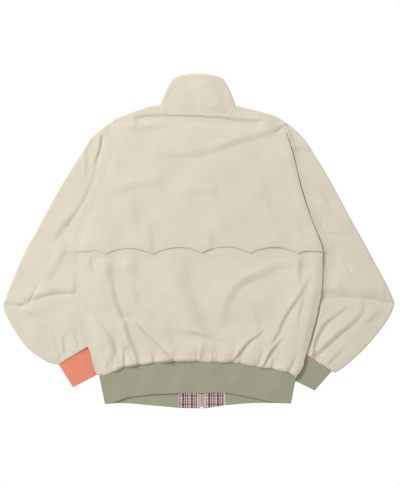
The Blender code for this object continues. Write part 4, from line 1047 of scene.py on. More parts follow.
def yoke():
    """The yoke across the shoulders, with its scalloped lower edge."""
    x = np.linspace(SIDE["left"][-1].x, SIDE["right"][-1].x, steps(YOKE_WIDTH))
    foot = np.stack([x, scallop_y(x)], axis=-1)
    rows = steps(YOKE_LENGTH)
    levels = shares(rows)
    left = inset(along(ARMHOLE["left"], levels), -YOKE_ROLL)
    right = inset(along(ARMHOLE["right"], levels), YOKE_ROLL)
    left[0], right[0] = foot[0] + (YOKE_ROLL, 0), foot[-1] - (YOKE_ROLL, 0)
    foot[0], foot[-1] = left[0], right[0]

    shoulder_columns = round(SHOULDER_SHARE * len(x))
    neck_x = np.linspace(-NECK_HALF, NECK_HALF - 1.0, len(x) - 2 * shoulder_columns)
    neck = np.stack([neck_x, collar_foot(neck_x)[0] + NECK_TUCK], axis=-1)
    to_neck = shares(shoulder_columns)
    shoulder_left = inset(along(SHOULDER["left"], to_neck), -SHOULDER_ROLL)
    shoulder_right = inset(along(SHOULDER["right"], to_neck), SHOULDER_ROLL)[::-1]
    head = np.concatenate([shoulder_left, neck, shoulder_right])
    left[-1], right[-1] = head[0], head[-1]

    plan = patch(left, right, foot, head)
    px, py = plan[..., 0], plan[..., 1]
    foot_y, level = collar_foot(px)
    seam = np.where(np.abs(px) < NECK_HALF + SEAM_MARGIN, foot_y - py, NO_SEAM)
    near_neck = ease(1 - seam / SEAM_SLOPE)
    height = yoke_height(px, py)
    height = height * (1 - near_neck) + level * near_neck - SEAM_DIP * ease(-seam / NECK_TUCK)
    height += crease_height(NECK_CREASE, px, py) * ease((seam + CREASE_OVER) / CREASE_SLOPE)
    low = body_lift(px, py) + YOKE_UNDER
    height = (height + low + np.hypot(height - low, SOFT_FLOOR)) / 2
    near_shoulder = ease(1 - (1 - levels[:, None]) * rows * GRID / SHOULDER_SLOPE)
    height -= SHOULDER_LOW * near_shoulder * ease((np.abs(px) - NECK_HALF) / SHOULDER_IN)
    grid = np.dstack([px, py, height])

    grid = roll_shoulders(grid, np.abs(head[:, 0]))
    beside = ease((ARMHOLE_HEAD - grid[:, 0, 1]) / ARMHOLE_SLOPE)
    grid = roll_sides(grid, YOKE_ROLL, YOKE_DOWN_LEFT, YOKE_DOWN_RIGHT + ARMHOLE_DOWN * beside)
    return shell("yoke_cloth", grid, CLOTH, False, "twill")


WIDE_GATHER = 28            # a gather narrower than this sags less


def pinch_columns(spacing):
    """Plan points of the back's lower edge, and how far each is from the nearest pinch."""
    rows = []
    for a, b in zip(PINCHES, PINCHES[1:]):
        count = max(3, round((b.x - a.x) / spacing))
        for k in range(count):
            t = k / count
            between = math.sin(math.pi * t) ** 0.8
            x, y, reach, depth = (p + (q - p) * t for p, q in zip(a, b))
            y -= GATHER_SAG * between * min(1, (b.x - a.x) / WIDE_GATHER)
            rows.append((x, y, between ** 2, reach, depth))
    end = PINCHES[-1]
    rows.append((end.x, end.y, 0.0, end.reach, end.depth))
    return np.array(rows).T


FINE_GATHERS = (-222.0, 215.0)      # the finer gathers lie between these places


def small_gathers():
    """Short creases above the hem band: one at each pinch, and finer ones between."""
    chance = np.random.default_rng(11)

    def gather(x, y, below, lean, top, *shape):
        path = [(x, y - below), (x + lean * top / 2, y + top / 2), (x + lean * top, y + top)]
        return Crease(path, 1.0, 0.8, 0.2, *shape)

    table = [gather(p.x, p.y, 3, chance.uniform(-0.25, 0.25), p.reach * 0.8,
                    0.6 + p.depth, 2.6, 0.5, 6, 5) for p in PINCHES[1:-1]]
    x, end = FINE_GATHERS
    while x < end:
        y = np.interp(x, *zip(*(p[:2] for p in PINCHES)))
        top = chance.uniform(9, 24)
        lean = chance.uniform(-0.3, 0.3)
        table.append(gather(x, y, 5, lean, top, chance.uniform(0.3, 1.3), 2.8, 0.4, 5, 4))
        x += chance.uniform(8, 17)
    return table


BACK_LENGTH = 300
BACK_ROLL = 3.0             # the back's sides turn down within this width, and so far
BACK_DOWN_LEFT = 0.4
BACK_DOWN_RIGHT = 5.0
OPEN_Y = -16.0              # below this the back is in view
LEFT_SLOPE = 26.0           # it comes to the left edge's height within this
BULGE_IN = 12.0             # swell along the right edge: its place, its width and its height
BULGE_WIDTH = 15.0
BULGE = 1.2
BULGE_MORE = 2.6            # and how it grows up the side
BULGE_FROM = -150.0
BULGE_SLOPE = 40.0
PRESS = 0.5                 # the back fills up to the yoke between these
PRESS_FROM = -42.0
PRESS_TO = 18.0
PRESS_SLOPE = 14.0


def lower_back():
    """The back below the yoke, gathered into the hem band."""
    x, y, swell, gather_reach, depth = pinch_columns(GRID)
    foot = np.stack([x, y], axis=-1)
    foot[0, 0] += BACK_ROLL
    foot[-1, 0] -= BACK_ROLL
    levels = shares(steps(BACK_LENGTH))
    top_y = SCALLOP_Y + YOKE_OVERLAP
    arm_left = [Edge(-285, -22), Edge(-270, top_y)]
    arm_right = [Edge(286, -22), Edge(270, top_y)]
    left = inset(along(SIDE["left"][:-1] + arm_left, levels), -BACK_ROLL)
    right = inset(along(SIDE["right"][:-1] + arm_right, levels), BACK_ROLL)
    left[0], right[0] = foot[0], foot[-1]
    head = along([left[-1], right[-1]], (x - x[0]) / (x[-1] - x[0]))

    plan = patch(left, right, foot, head)
    px, py = plan[..., 0], plan[..., 1]
    up = np.linalg.norm(plan - plan[:1], axis=-1)
    height = back_height(px, py, up, swell, gather_reach, depth)
    open_part = ease((OPEN_Y - py) / FOLD_FADE)
    edge = ease(1 - (px - px[:, :1]) / LEFT_SLOPE)
    lift = body_lift(px, py)
    bulge = bell(px[:, -1:] - px - BULGE_IN, BULGE_WIDTH)
    height += (BULGE + BULGE_MORE * ease((py - BULGE_FROM) / BULGE_SLOPE)) * bulge * open_part
    height += PRESS * ease((py - PRESS_FROM) / PRESS_SLOPE) * ease((PRESS_TO - py) / PRESS_SLOPE)
    height = np.maximum(height * (1 - edge) + (lift + BACK_EDGE) * edge, lift + BACK_UNDER)
    grid = np.dstack([px, py, height])
    side = ease((OPEN_Y - grid[:, 0, 1]) / FOLD_FADE)
    grid = roll_sides(grid, BACK_ROLL, BACK_DOWN_LEFT * side, BACK_DOWN_RIGHT * side)
    return shell("back_cloth", grid, CLOTH, False, "twill")


# ---- the fronts, under the back --------------------------------------------------------------
def hem_seam(x_name, y_name, table, fractions):
    """Points along one edge of the hem band."""
    rows = [(getattr(b, x_name), getattr(b, y_name)) for b in table]
    return curve(rows, fractions)


def zip_edge(side):
    """x of the edge beside the zip tape."""
    return ZIP_X + SIGN[side] * (CHAIN_WIDTH / 2 + TAPE_WIDTH + 2 * SEAM_GAP)


FRONT_IN = 3.0              # the fronts end this far inside the back's outline
HEM_CORNER_IN = 6.0
ARM_GAP = 1.0               # between a front and the ends of its sleeve's first section
SHOULDER_GAP = 1.2
ARM_UP = 2
FRONT_WAVES = 0.35
FRONT_FADE = 20.0           # and are flat beside the zip
UNDERARM = (284, -34)
HEM_POINTS = 40             # points along the edges of a front
SIDE_POINTS = 36
UNDERARM_POINTS = 8
ARMHOLE_POINTS = 40
NECK_POINTS = 24
SHOULDER_POINTS = 16


def front(side):
    """One front, flat on the floor, from the hem band to the shoulder."""
    sign = SIGN[side]
    edge_x = zip_edge(side)
    foot = hem_seam("x_top", "y_top", HEM_FRONT[side], shares(HEM_POINTS)[::-1])
    foot[:, 1] += 2 * SEAM_GAP
    foot[0, 0] = edge_x
    foot[-1, 0] = SIDE[side][0].x - sign * HEM_CORNER_IN
    arm = SLEEVE[side][0]
    sides = [Edge(p.x - sign * FRONT_IN, p.y) for p in SIDE[side][1:-1]]
    underarm = Edge(sign * UNDERARM[0], UNDERARM[1])
    arm_foot = Edge(arm.inner_x - sign * ARM_GAP, arm.inner_y + ARM_UP)
    arm_head = Edge(arm.outer_x - sign * SHOULDER_GAP, arm.outer_y + ARM_UP)
    outer = np.concatenate([
        along([foot[-1]] + sides + [underarm], shares(SIDE_POINTS)),
        along([underarm, arm_foot], shares(UNDERARM_POINTS)[1:-1]),
        along([arm_foot, arm_head], shares(ARMHOLE_POINTS))])
    throat = (edge_x, FRONT_NECK[0].y - 2 * SEAM_GAP)
    centre = along([foot[0], throat], shares(len(outer)))
    neck = [(sign * p.x, p.y) for p in FRONT_NECK]
    neck[0] = throat
    neckline = inset(curve(neck, shares(NECK_POINTS)), -sign * 2 * SEAM_GAP)
    neckline[0] = centre[-1]
    shoulder = [Edge(p.x, p.y - FRONT_IN) for p in SHOULDER[side][2:-1]][::-1]
    shoulder = along(shoulder + [arm_head], shares(SHOULDER_POINTS))
    head = np.concatenate([neckline, shoulder])
    outer[0], outer[-1] = foot[-1], head[-1]
    plan = patch(centre, outer, foot, head)
    if sign < 0:
        plan = plan[:, ::-1]
    px, py = plan[..., 0], plan[..., 1]
    waves = FRONT_WAVES + ripple("front", px, py)
    free = ease(np.abs(px - edge_x) / FRONT_FADE)
    height = body_lift(px, py) + FRONT_LEVEL + np.maximum(waves, 0.0) * free
    return shell(f"front_{side}_cloth", np.dstack([px, py, height]), CLOTH, False, "twill")


STRIP_ENDS = {"hem_tab": "cloth", "facing": "check"}
STRIP_COLUMNS = 20
STRIP_ROWS = 28
STRIP_UNEVEN = 0.15
TURNED_UNDER = 3.0          # the edges are turned under: from so far, and down so far
TURNED_DOWN = 0.5


def strip(part, side, far, top_y, level, thickness, cloth):
    """A short strip of cloth beside the zip, from the hem up to top_y."""
    near_x = zip_edge(side)
    foot = along([(near_x, ZIP_FOOT), far], shares(STRIP_COLUMNS))
    head = along([(near_x, top_y), (far[0], top_y)], shares(STRIP_COLUMNS))
    rows = shares(STRIP_ROWS)
    plan = patch(along([foot[0], head[0]], rows), along([foot[-1], head[-1]], rows), foot, head)
    if side == "left":
        plan = plan[:, ::-1]
    height = level + STRIP_UNEVEN * (1 + ripple(part, plan[..., 0], plan[..., 1]))
    from_foot = np.minimum(plan[..., 1] - plan[:1, :, 1], TURNED_UNDER)
    height -= TURNED_DOWN * (1 - from_foot / TURNED_UNDER) ** 2
    name = f"{part}_{side}_{STRIP_ENDS[part]}"
    return shell(name, np.dstack([plan, height]), thickness, False, cloth)


def hem_tab(side):
    """The shell cloth between the end of the hem band and the zip."""
    band = HEM_FRONT[side][-1]
    far = (band.x_foot - 2 * SIGN[side] * SEAM_GAP, band.y_foot)
    return strip("hem_tab", side, far, band.y_top - SEAM_GAP, HEM_TAB_LEVEL, CLOTH, "twill")


def facing(side):
    """The strip of checked lining inside the front edge, where the back leaves it in view."""
    far = (zip_edge(side) + SIGN[side] * FACING_WIDTH, HEM_FRONT[side][-1].y_foot)
    return strip("facing", side, far, FACING_TOP, FACING_LEVEL, CHECK_CLOTH, "check")


# ---- sleeves and cuffs -----------------------------------------------------------------------
NEAR_INNER = 3.0            # the round sides take their height from so far in
NEAR_OUTER = 5.0
FLAT_BLEND = 8.0
TUBE_TURNS = 5


def tube_grid(ends, top, columns, foot_columns):
    """A flattened tube on the floor: a closed ring of points for each row of ends.

    A row of ends holds its inner and outer x and y; top gives the height of its upper face.
    """
    inner, outer = ends[:, None, :2], ends[:, None, 2:]
    width = np.linalg.norm(outer - inner, axis=-1)[..., None]
    direction = (outer - inner) / width

    def height(distance):
        at = inner + direction * distance
        return top(at[..., 0], at[..., 1])[..., None]

    r_in = height(np.full_like(width, NEAR_INNER)) / 2
    r_out = height(width - NEAR_OUTER) / 2
    down = shares(foot_columns)[None, :, None]
    up = np.linspace(1, 0, columns)[None, :, None]
    distances = [r_in + (width - r_out - r_in) * down]
    heights = [np.zeros_like(distances[0])]
    a = np.radians(np.linspace(-90, 90, TUBE_TURNS + 2)[1:-1])[None, :, None]
    distances.append(width - r_out + r_out * np.cos(a))
    heights.append(r_out + r_out * np.sin(a))
    flat = r_in + (width - r_out - r_in) * up
    z = height(flat)
    # the flat part meets the round ends at their height
    blend_in = ease(1 - (flat - r_in) / FLAT_BLEND)
    blend_out = ease(1 - (width - r_out - flat) / FLAT_BLEND)
    z = z + blend_in * (2 * r_in - z) + blend_out * (2 * r_out - z)
    distances.append(flat)
    heights.append(z)
    a = np.radians(np.linspace(90, 270, TUBE_TURNS + 2)[1:-1])[None, :, None]
    distances.append(r_in + r_in * np.cos(a))
    heights.append(r_in + r_in * np.sin(a))
    d, z = np.concatenate(distances, axis=1), np.concatenate(heights, axis=1)
    return np.concatenate([inner + direction * d, z], axis=-1)


SLEEVE_STATIONS = 190
SLEEVE_FLOOR_COLUMNS = 16
PLEAT_SEED = {"left": 41, "right": 42}
PLEAT_ROWS = 13             # the end gathers into the cuff over so many rows
PLEAT_ALONG = 0.9
PLEAT_UP = 0.7
PLEAT_LEVEL = 2.2           # pleats rise only above this height
Closing = namedtuple("Closing", "pull height push")
# rings that close the end around the cuff
SLEEVE_END = rows_of(Closing, (0.985, 0.95, 1.2), (0.955, 0.86, 1.8))


def sleeve(side):
    """A flattened sleeve, whose end gathers into the cuff."""
    ends = densify([tuple(s) for s in SLEEVE[side]], SLEEVE_STATIONS)

    def top(x, y):
        return sleeve_height(side, x, y)
    grid = tube_grid(ends, top, SLEEVE_COLUMNS, SLEEVE_FLOOR_COLUMNS)
    chance = np.random.default_rng(PLEAT_SEED[side])
    columns = grid.shape[1]
    pleats = np.sin(np.cumsum(chance.uniform(0.3, 1.3, columns)))
    axis = level_way(grid[-1].mean(axis=0) - grid[1 - PLEAT_ROWS].mean(axis=0))
    for k in range(1, PLEAT_ROWS):
        near = (1 - k / PLEAT_ROWS) ** 1.5
        grid[-k] += axis * (PLEAT_ALONG * near * pleats)[:, None]
        upper = grid[-k, :, 2] > PLEAT_LEVEL
        grid[-k, upper, 2] += (PLEAT_UP * near * pleats)[upper]
    last = grid[-1].copy()
    middle = last.mean(axis=0)
    rings = []
    for end in SLEEVE_END:
        ring = middle + (last - middle) * end.pull
        ring[:, 2] = last[:, 2] * end.height
        rings.append((ring + axis * end.push)[None])
    grid = np.concatenate([grid] + rings)
    if side == "left":
        grid = grid[:, ::-1]
    return shell(f"sleeve_{side}_cloth", grid, CLOTH, True, "twill")


CUFF_FREE_FROM = 2.0        # a cuff is thicker outside the body, from here on
CUFF_FREE_SLOPE = 16.0
CUFF_ROWS = 30
ROUND_TURNS = (30, 60, 90)  # the folded wrist edge is round
ROUND_OUT = 1.0
ROUND_THIN = 0.28


def ribs(columns):
    """Ridges and furrows of a rib knit, a column each."""
    return RIB_RELIEF * np.where(np.arange(columns) % 2, 0.5, -0.5)[None, :, None]


def cuff(side, knit):
    """A flattened cuff of doubled rib knit."""
    def top(x, y):
        free = ease((outside(side, x, y) - CUFF_FREE_FROM) / CUFF_FREE_SLOPE)
        return CUFF_TUCKED + (CUFF_HEIGHT - CUFF_TUCKED) * free
    start, end = CUFF[side]
    width = math.hypot(start.outer_x - start.inner_x, start.outer_y - start.inner_y)
    columns = 2 * round(width / CUFF_RIB_PITCH) + 1
    fractions = shares(CUFF_ROWS)[:, None]
    ends = np.asarray(start) * (1 - fractions) + np.asarray(end) * fractions
    grid = tube_grid(ends, top, columns, columns)
    if side == "left":
        grid = grid[:, ::-1]
    near_end = np.minimum(fractions, 1 - fractions)[:, :, None] * CUFF_ROWS
    grid = grid + normals(grid, True) * ribs(grid.shape[1]) * ease(near_end)
    grid[..., 2] = np.maximum(grid[..., 2], 0.0)
    tip = grid[-1].copy()
    middle = tip.mean(axis=0)
    axis = level_way(middle - grid[-2].mean(axis=0))
    rings = []
    for angle in ROUND_TURNS:
        a = math.radians(angle)
        ring = tip.copy()
        ring[:, 2] = middle[2] + (tip[:, 2] - middle[2]) * (1 - ROUND_THIN * (1 - math.cos(a)))
        rings.append((ring + axis * ROUND_OUT * math.sin(a))[None])
    grid = np.concatenate([grid] + rings)
    return shell(f"cuff_{side}_knit", grid, CUFF_KNIT, True, knit)


# ---- hem band --------------------------------------------------------------------------------
HEM_FRONT_WIDTH = {"left": 172.0, "right": 152.0}
HEM_TURNS = (-60, -30, 0, 30, 60)   # round the sides, from the fronts up to the back
HEM_TOP_OVER = 1.5                  # the band's edges lie this far over its outline
HEM_FOOT_OVER = 0.9
HEM_ROWS = 30
HEM_BACK_LEVEL = 4.0                # only the back half is uneven
RIB_AT_FOOT = 0.25                  # the ribs are shallower there, and soon full
RIB_SLOPE = 14
FOOT_TURNS = (80, 50, 25)           # the foot is the fold of the doubled knit, so it is round


def hem_loop(x_name, y_name, offset):
    """One edge of the hem band: front left, round the side, the back, and round again."""
    half = (HEM_BACK_FLOOR + KNIT) / 2

    def edge(table, width):
        columns = 2 * round(width / HEM_RIB_PITCH) + 1
        points = hem_seam(x_name, y_name, table, shares(columns))
        points[:, 1] += offset
        return points

    back = edge(HEM_BACK, HEM_WIDTH)
    left = edge(HEM_FRONT["left"], HEM_FRONT_WIDTH["left"])[::-1]
    right = edge(HEM_FRONT["right"], HEM_FRONT_WIDTH["right"])

    def lay(points, level):
        return np.column_stack([points, body_lift(points[:, 0], points[:, 1]) + level])

    def turn(point, outward):
        lift = float(body_lift(point[:1], point[1:])[0])
        angles = np.radians(HEM_TURNS)
        return np.column_stack([point[0] + outward * half * np.cos(angles),
                                np.full(len(angles), point[1]),
                                lift + half + half * np.sin(angles)])

    # the flat rows end where the side rolls begin
    back[:, 0] = np.clip(back[:, 0], back[0, 0] + half, back[-1, 0] - half)
    left[-1, 0] += half
    right[0, 0] -= half
    return np.concatenate([lay(left, 0.0), turn(left[-1], -1.0), lay(back, 2 * half),
                           turn(right[0], 1.0)[::-1], lay(right, 0.0)])


def hem_band():
    """The knit band, from one front round the back to the other."""
    top_edge = hem_loop("x_top", "y_top", HEM_TOP_OVER)
    foot_edge = hem_loop("x_foot", "y_foot", HEM_FOOT_OVER)
    fractions = shares(HEM_ROWS)[:, None, None]
    grid = foot_edge * (1 - fractions) + top_edge * fractions
    out = normals(grid, False)
    loose = ripple("hem", grid[..., 0], grid[..., 1])
    pulled = loose[..., None] * (grid[..., 2:] > HEM_BACK_LEVEL) * np.array([0.0, 0.0, 1.0])
    relief = ribs(grid.shape[1]) * ease(RIB_AT_FOOT + fractions * RIB_SLOPE)
    middle = grid - out * KNIT / 2 + out * relief + pulled
    direction = middle[0] - middle[1]
    direction /= np.linalg.norm(direction, axis=1)[:, None]
    outer, inner = [], []
    for angle in FOOT_TURNS:
        a = math.radians(angle)
        spread = out[0] * KNIT / 2 * math.cos(a)
        tip = middle[0] + direction * KNIT / 2 * math.sin(a)
        outer.append((tip + spread)[None])
        inner.append((tip - spread)[None])
    outer = np.concatenate(outer + [middle + out * KNIT / 2])
    inner = np.concatenate(inner + [middle - out * KNIT / 2])
    outer[..., 2] = np.maximum(outer[..., 2], 0.0)
    return wall("hem_knit", outer, inner, False, "sage_rib")


# ---- collar ----------------------------------------------------------------------------------
COLLAR_ROWS = 34
COLLAR_CORNER = 72.0        # beyond this the foot runs on below the yoke's face, so that no
CORNER_SLOPE = 8.0          # step shows there
FOOT_RUN = 0.3              # and elsewhere it runs on so far
ON_BACK = 2.0               # above COLLAR_LOWER
RUN_ROWS = (-1.0, -0.5)     # rows of the run-on, below the collar's foot
SOFT_FROM = 4.0             # creases are drawn on the back half, and fade at the foot
SOFT_SLOPE = 3.0
SOFT_ROWS = (-0.3, 5.0)
SIDE_FROM = 30.0            # the sides bulge out from here
SIDE_SLOPE = 40.0
BACK_BULGE = 1.3
EDGE_FOLD = 1.6             # the top edge is a fold: its last few millimetres turn down
EDGE_SHARE = 0.07           # of the collar's height


def collar():
    """The standing collar, laid flat."""
    base, top = collar_line()
    rows = []
    run_on = (ease((np.abs(base[:, 0]) - COLLAR_CORNER) / CORNER_SLOPE)
              * (base[:, 2] > COLLAR_LOWER + ON_BACK))
    down = (base - top)[:, :2]
    down /= np.linalg.norm(down, axis=1)[:, None]
    for t in np.r_[RUN_ROWS, shares(COLLAR_ROWS)]:
        if t < 0:
            row = base.copy()
            row[:, :2] -= t * down * (FOOT_RUN + (NECK_TUCK - FOOT_RUN) * run_on)[:, None]
            row[:, 2] -= SEAM_DIP * run_on * t * t
            rows.append(row)
            continue
        row = base * (1 - t) + top * t
        side = ease((np.abs(row[:, 0]) - SIDE_FROM) / SIDE_SLOPE)
        bulge = math.sin(math.pi * t)
        row[:, 0] += np.sign(row[:, 0]) * COLLAR_SIDE_BULGE * bulge * side
        row[row[:, 2] > COLLAR_LOWER, 2] += BACK_BULGE * bulge
        folded = ease((t - (1 - EDGE_SHARE)) / EDGE_SHARE) ** 2
        row[row[:, 2] > COLLAR_LOWER, 2] -= EDGE_FOLD * folded
        rows.append(row)
    grid = np.array(rows)
    from_foot = ease(np.linspace(*SOFT_ROWS, len(grid)))[:, None]
    upper = ease((grid[..., 2] - SOFT_FROM) / SOFT_SLOPE) * from_foot
    soft = crease_height(COLLAR_CREASES, grid[..., 0], grid[..., 1])
    soft += ripple("collar", grid[..., 0], grid[..., 1])
    grid[..., 2] += upper * soft
    grid[..., 2] = np.maximum(grid[..., 2], 0.0)
    return shell("collar_cloth", grid, COLLAR_CLOTH, False, "twill")


# ---- zip -------------------------------------------------------------------------------------
TAPE_GAP = 0.1              # between the coil and each tape
TAPE_COLUMNS = 9
TAPE_ROWS = 240
TAPE_LEVEL = 1.15
TAPE = 0.8
SELVEDGE = 0.25             # the tape's outer edge is thicker, within this width
SELVEDGE_WIDTH = 0.9
TAPE_GROOVE = 0.3           # where the coil is sewn on: its depth, its place and its width
TAPE_GROOVE_IN = 2.4
TAPE_GROOVE_WIDTH = 0.6


def zip_tape(side):
    """Woven tape beside the coil, with a thick selvedge."""
    sign = SIGN[side]
    near = ZIP_X + sign * (CHAIN_WIDTH / 2 + TAPE_GAP)
    far = near + sign * TAPE_WIDTH
    x = np.linspace(min(near, far), max(near, far), TAPE_COLUMNS)
    px, py = np.meshgrid(x, np.linspace(ZIP_FOOT, ZIP_TOP, TAPE_ROWS))
    selvedge = SELVEDGE * bell(px - far, SELVEDGE_WIDTH)
    groove = TAPE_GROOVE * bell(px - near - sign * TAPE_GROOVE_IN, TAPE_GROOVE_WIDTH)
    height = TAPE_LEVEL + selvedge - groove + ripple("tape", px, py)
    return shell(f"zip_tape_{side}_weave", np.dstack([px, py, height]), TAPE, False, "tape")


COIL_COLUMNS = 13
ROWS_A_TURN = 4
COIL = 0.9                  # its wall, its level and how high its turns rise
COIL_LEVEL = 1.0
COIL_LOW = 0.35
COIL_HIGH = 0.75
MEETING = 0.35              # the line where the two rows meet: its depth and its width
MEETING_WIDTH = 0.35


def zip_coil():
    """The closed coil: two rows of turns that take each other's gaps."""
    half = CHAIN_WIDTH / 2
    rows = round((ZIP_TOP - ZIP_FOOT) / COIL_PITCH * ROWS_A_TURN) + 1
    x = np.linspace(-half, half, COIL_COLUMNS)
    px, py = np.meshgrid(x, np.linspace(ZIP_FOOT + COIL_END, ZIP_TOP, rows))
    phase = np.where(px < 0, 0.0, math.pi)
    turn = 0.5 + 0.5 * np.cos(py / COIL_PITCH * math.tau + phase)
    across = 1 - (np.abs(px) / half) ** 2
    meeting = MEETING * bell(px, MEETING_WIDTH)
    height = COIL_LEVEL + (COIL_LOW + COIL_HIGH * turn) * across ** 0.5 - meeting
    return shell("zip_coil", np.dstack([px + ZIP_X, py, height]), COIL, False, "coil")


# ---- stitching -------------------------------------------------------------------------------
STITCH_LENGTH = 3.0         # a thread 0.5 mm thick, drawn a little longer than sewn
STITCH_GAP = 1.0
STITCH_RADIUS = 0.28
STITCH_SIDES = 5
STITCH_ARCH = 0.10
STITCH_LIFT = 0.08          # its middle line lies this far above the cloth
Girth = namedtuple("Girth", "at share")
# a stitch is thickest in the middle: places along it, and shares of its radius
STITCH_PROFILE = rows_of(Girth, (0.0, 0.15), (0.2, 0.85), (0.5, 1.0), (0.8, 0.85), (1.0, 0.15))


def stitch_row(path):
    """Short rounded threads along a path of points on the cloth."""
    run = np.r_[0.0, np.cumsum(np.linalg.norm(np.diff(path, axis=0), axis=1))]
    count = int(run[-1] // (STITCH_LENGTH + STITCH_GAP))
    points, faces = [], []
    n = STITCH_SIDES
    for k in range(count):
        start = k * (STITCH_LENGTH + STITCH_GAP)
        at = start + np.array([p.at for p in STITCH_PROFILE]) * STITCH_LENGTH
        centre = np.stack([np.interp(at, run, path[:, i]) for i in range(3)], axis=-1)
        step = centre[-1] - centre[0]
        side = np.array([-step[1], step[0], 0.0])
        side /= np.linalg.norm(side)
        up = np.array([0.0, 0.0, 1.0])
        base = len(points)
        for c, girth in zip(centre, STITCH_PROFILE):
            r = STITCH_RADIUS * girth.share
            lift = STITCH_ARCH * math.sin(math.pi * girth.at)
            for corner in range(n):
                turn = math.radians(360 / n * corner)
                points.append(c + up * lift + r * (math.cos(turn) * side + math.sin(turn) * up))
        for i in range(len(STITCH_PROFILE) - 1):
            q = base + i * n
            for j in range(n):
                after = (j + 1) % n
                faces.append((q + j, q + after, q + n + after, q + n + j))
        faces.append(tuple(base + j for j in reversed(range(n))))
        end = base + n * (len(STITCH_PROFILE) - 1)
        faces.append(tuple(end + j for j in range(n)))
    return points, faces


def stitches(name, paths):
    """One mesh with every stitch of some rows."""
    points, faces = [], []
    for path in paths:
        more, ring = stitch_row(path)
        faces += [tuple(len(points) + i for i in face) for face in ring]
        points += more
    return place_object(name, smooth_mesh(name, np.array(points), faces, "thread"))


RAY_TOP = 0.1               # metres


def drop_on(piece, plan):
    """Plan points put on the upper face of a piece."""
    tree = BVHTree.FromPolygons([tuple(v.co) for v in piece.data.vertices],
                                [tuple(p.vertices) for p in piece.data.polygons])
    path = []
    for x, y in plan:
        hit = tree.ray_cast((x * MM, y * MM, RAY_TOP), (0.0, 0.0, -1.0))[0]
        if hit is not None:
            path.append((x, y, hit.z / MM + STITCH_LIFT))
    return np.array(path)


# ---- build -----------------------------------------------------------------------------------
made = {"yoke": yoke(), "back": lower_back(), "collar": collar(), "hem": hem_band(),
        "coil": zip_coil()}
for side in ("left", "right"):
    made[f"front_{side}"] = front(side)
    made[f"hem_tab_{side}"] = hem_tab(side)
    made[f"facing_{side}"] = facing(side)
    made[f"sleeve_{side}"] = sleeve(side)
    made[f"tape_{side}"] = zip_tape(side)
made["cuff_left"] = cuff("left", "coral_rib")
made["cuff_right"] = cuff("right", "sage_rib")


def sewn(name, on, paths):
    """Stitching along plan paths on a piece of cloth."""
    piece = stitches(name, [drop_on(made[on], path) for path in paths])
    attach(piece, "root")
    return piece


SCALLOP_SPAN = (-280.0, 280.0)
SCALLOP_POINTS = 400
ARMHOLE_SPAN = (0.03, 0.97)         # share of the armhole that shows its stitches
ARMHOLE_STEPS = 120


def scallop_path(inside):
    """Beside the yoke's scalloped edge, so far inside it."""
    x = np.linspace(*SCALLOP_SPAN, SCALLOP_POINTS)
    return inset(np.stack([x, scallop_y(x)], axis=-1), inside)


def armhole_path(side, inside):
    """Beside the armhole's seam, so far inside it."""
    seam = along(ARMHOLE[side], np.linspace(*ARMHOLE_SPAN, ARMHOLE_STEPS))
    return inset(seam, SIGN[side] * inside)


def collar_path():
    """Beside the collar's folded edge, across the back."""
    base, top = collar_line()
    on_back = base[:, 2] > COLLAR_LOWER + ON_BACK
    return ((1 - EDGE_SHARE) * top + EDGE_SHARE * base)[on_back, :2]


yoke_stitches = sewn("yoke_stitches", "yoke", [
    scallop_path(3.0), scallop_path(9.0), armhole_path("left", 5.0), armhole_path("right", 5.0)])
collar_stitches = sewn("collar_stitches", "collar", [collar_path()])

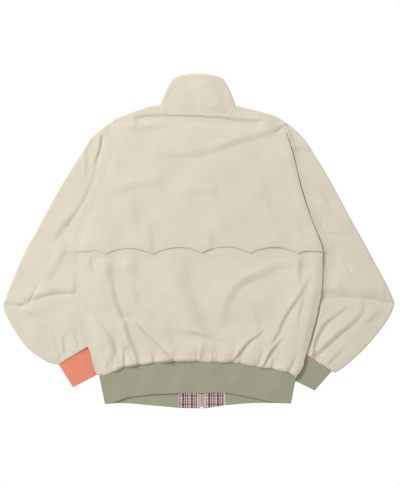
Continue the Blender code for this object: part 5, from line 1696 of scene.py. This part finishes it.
# ---- which solid each piece stands for, its finish, and the cut of the cloth -------------------
Cut = namedtuple("Cut", "node slot width length area rests_on")
CUTS = {
    "yoke": Cut("back_yoke", "shell", 0.59, 0.35, 0.165, ["back", "front_left", "front_right"]),
    "back": Cut("back_panel", "shell", 0.59, 0.32, 0.150, ["front_left", "front_right"]),
    "collar": Cut("collar", "shell", 0.40, 0.095, None, ["yoke"]),
    "hem": Cut("hem_rib", "sage_rib", 0.81, 0.07, None, []),
    "cuff_left": Cut("cuff_left", "coral_rib", 0.19, 0.066, None, []),
    "cuff_right": Cut("cuff_right", "sage_rib", 0.19, 0.068, None, []),
    "sleeve_left": Cut("sleeve_left", "shell", 0.62, 0.40, 0.152, []),
    "sleeve_right": Cut("sleeve_right", "shell", 0.62, 0.40, 0.152, []),
    "front_left": Cut("front_left", "shell", 0.30, 0.61, 0.15, []),
    "front_right": Cut("front_right", "shell", 0.30, 0.61, 0.15, []),
    "hem_tab_left": Cut("hem_tab_left", "shell", 0.047, 0.068, None, []),
    "hem_tab_right": Cut("hem_tab_right", "shell", 0.047, 0.068, None, []),
    "facing_left": Cut("facing_left", "check", 0.042, 0.06, None, ["front_left"]),
    "facing_right": Cut("facing_right", "check", 0.042, 0.06, None, ["front_right"]),
    "tape_left": Cut("zip_tape_left", "tape", 0.0100, 0.617, 0.0038, []),
    "tape_right": Cut("zip_tape_right", "tape", 0.0100, 0.617, 0.0038, []),
}
for key, cut in CUTS.items():
    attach(made[key], "root")
    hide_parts(cut.node)
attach(made["coil"], "root")
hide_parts("zip_chain")

# ---- floor, light and camera -----------------------------------------------------------------
WHITE = (1, 1, 1, 1)
FLOOR_SIDE = 6.0            # metres from here on
FLOOR_LEVEL = -0.0005
SKY_STRENGTH = 0.55         # soft light from all round
WINDOW_SIZE = 1.5           # and a window above the collar, to the left
WINDOW_POWER = 84.0
WINDOW_PLACE = (-2.2, 1.7, 2.7)
WINDOW_WAY = (1.3, -1.0, -1.6)
VIEW_WIDTH = 1.1178
VIEW_PLACE = (0.0028, -0.0046, 2.0)

bpy.ops.mesh.primitive_plane_add(size=FLOOR_SIDE, location=(0, 0, FLOOR_LEVEL))
floor = bpy.context.object
floor.name = "floor"
paper = bpy.data.materials.new("white_paper")
paper.use_nodes = True
paper.node_tree.nodes.clear()
glow = add(paper.node_tree, "ShaderNodeEmission", {"Color": WHITE, "Strength": 1.0})
add(paper.node_tree, "ShaderNodeOutputMaterial", {"Surface": glow.outputs[0]})
floor.data.materials.append(paper)

world = bpy.data.worlds.new("studio")
world.use_nodes = True
sky = world.node_tree.nodes["Background"]
sky.inputs["Color"].default_value = WHITE
sky.inputs["Strength"].default_value = SKY_STRENGTH
bpy.context.scene.world = world

lamp = bpy.data.lights.new("window", "AREA")
lamp.size = WINDOW_SIZE
lamp.energy = WINDOW_POWER
key_light = place_object("window", lamp)
key_light.location = WINDOW_PLACE
key_light.rotation_euler = Vector(WINDOW_WAY).to_track_quat("-Z", "Y").to_euler()

lens = bpy.data.cameras.new("above")
lens.type = "ORTHO"
lens.ortho_scale = VIEW_WIDTH
camera = place_object("above", lens)
camera.location = VIEW_PLACE
bpy.context.scene.camera = camera
bpy.context.scene.view_settings.view_transform = "Standard"
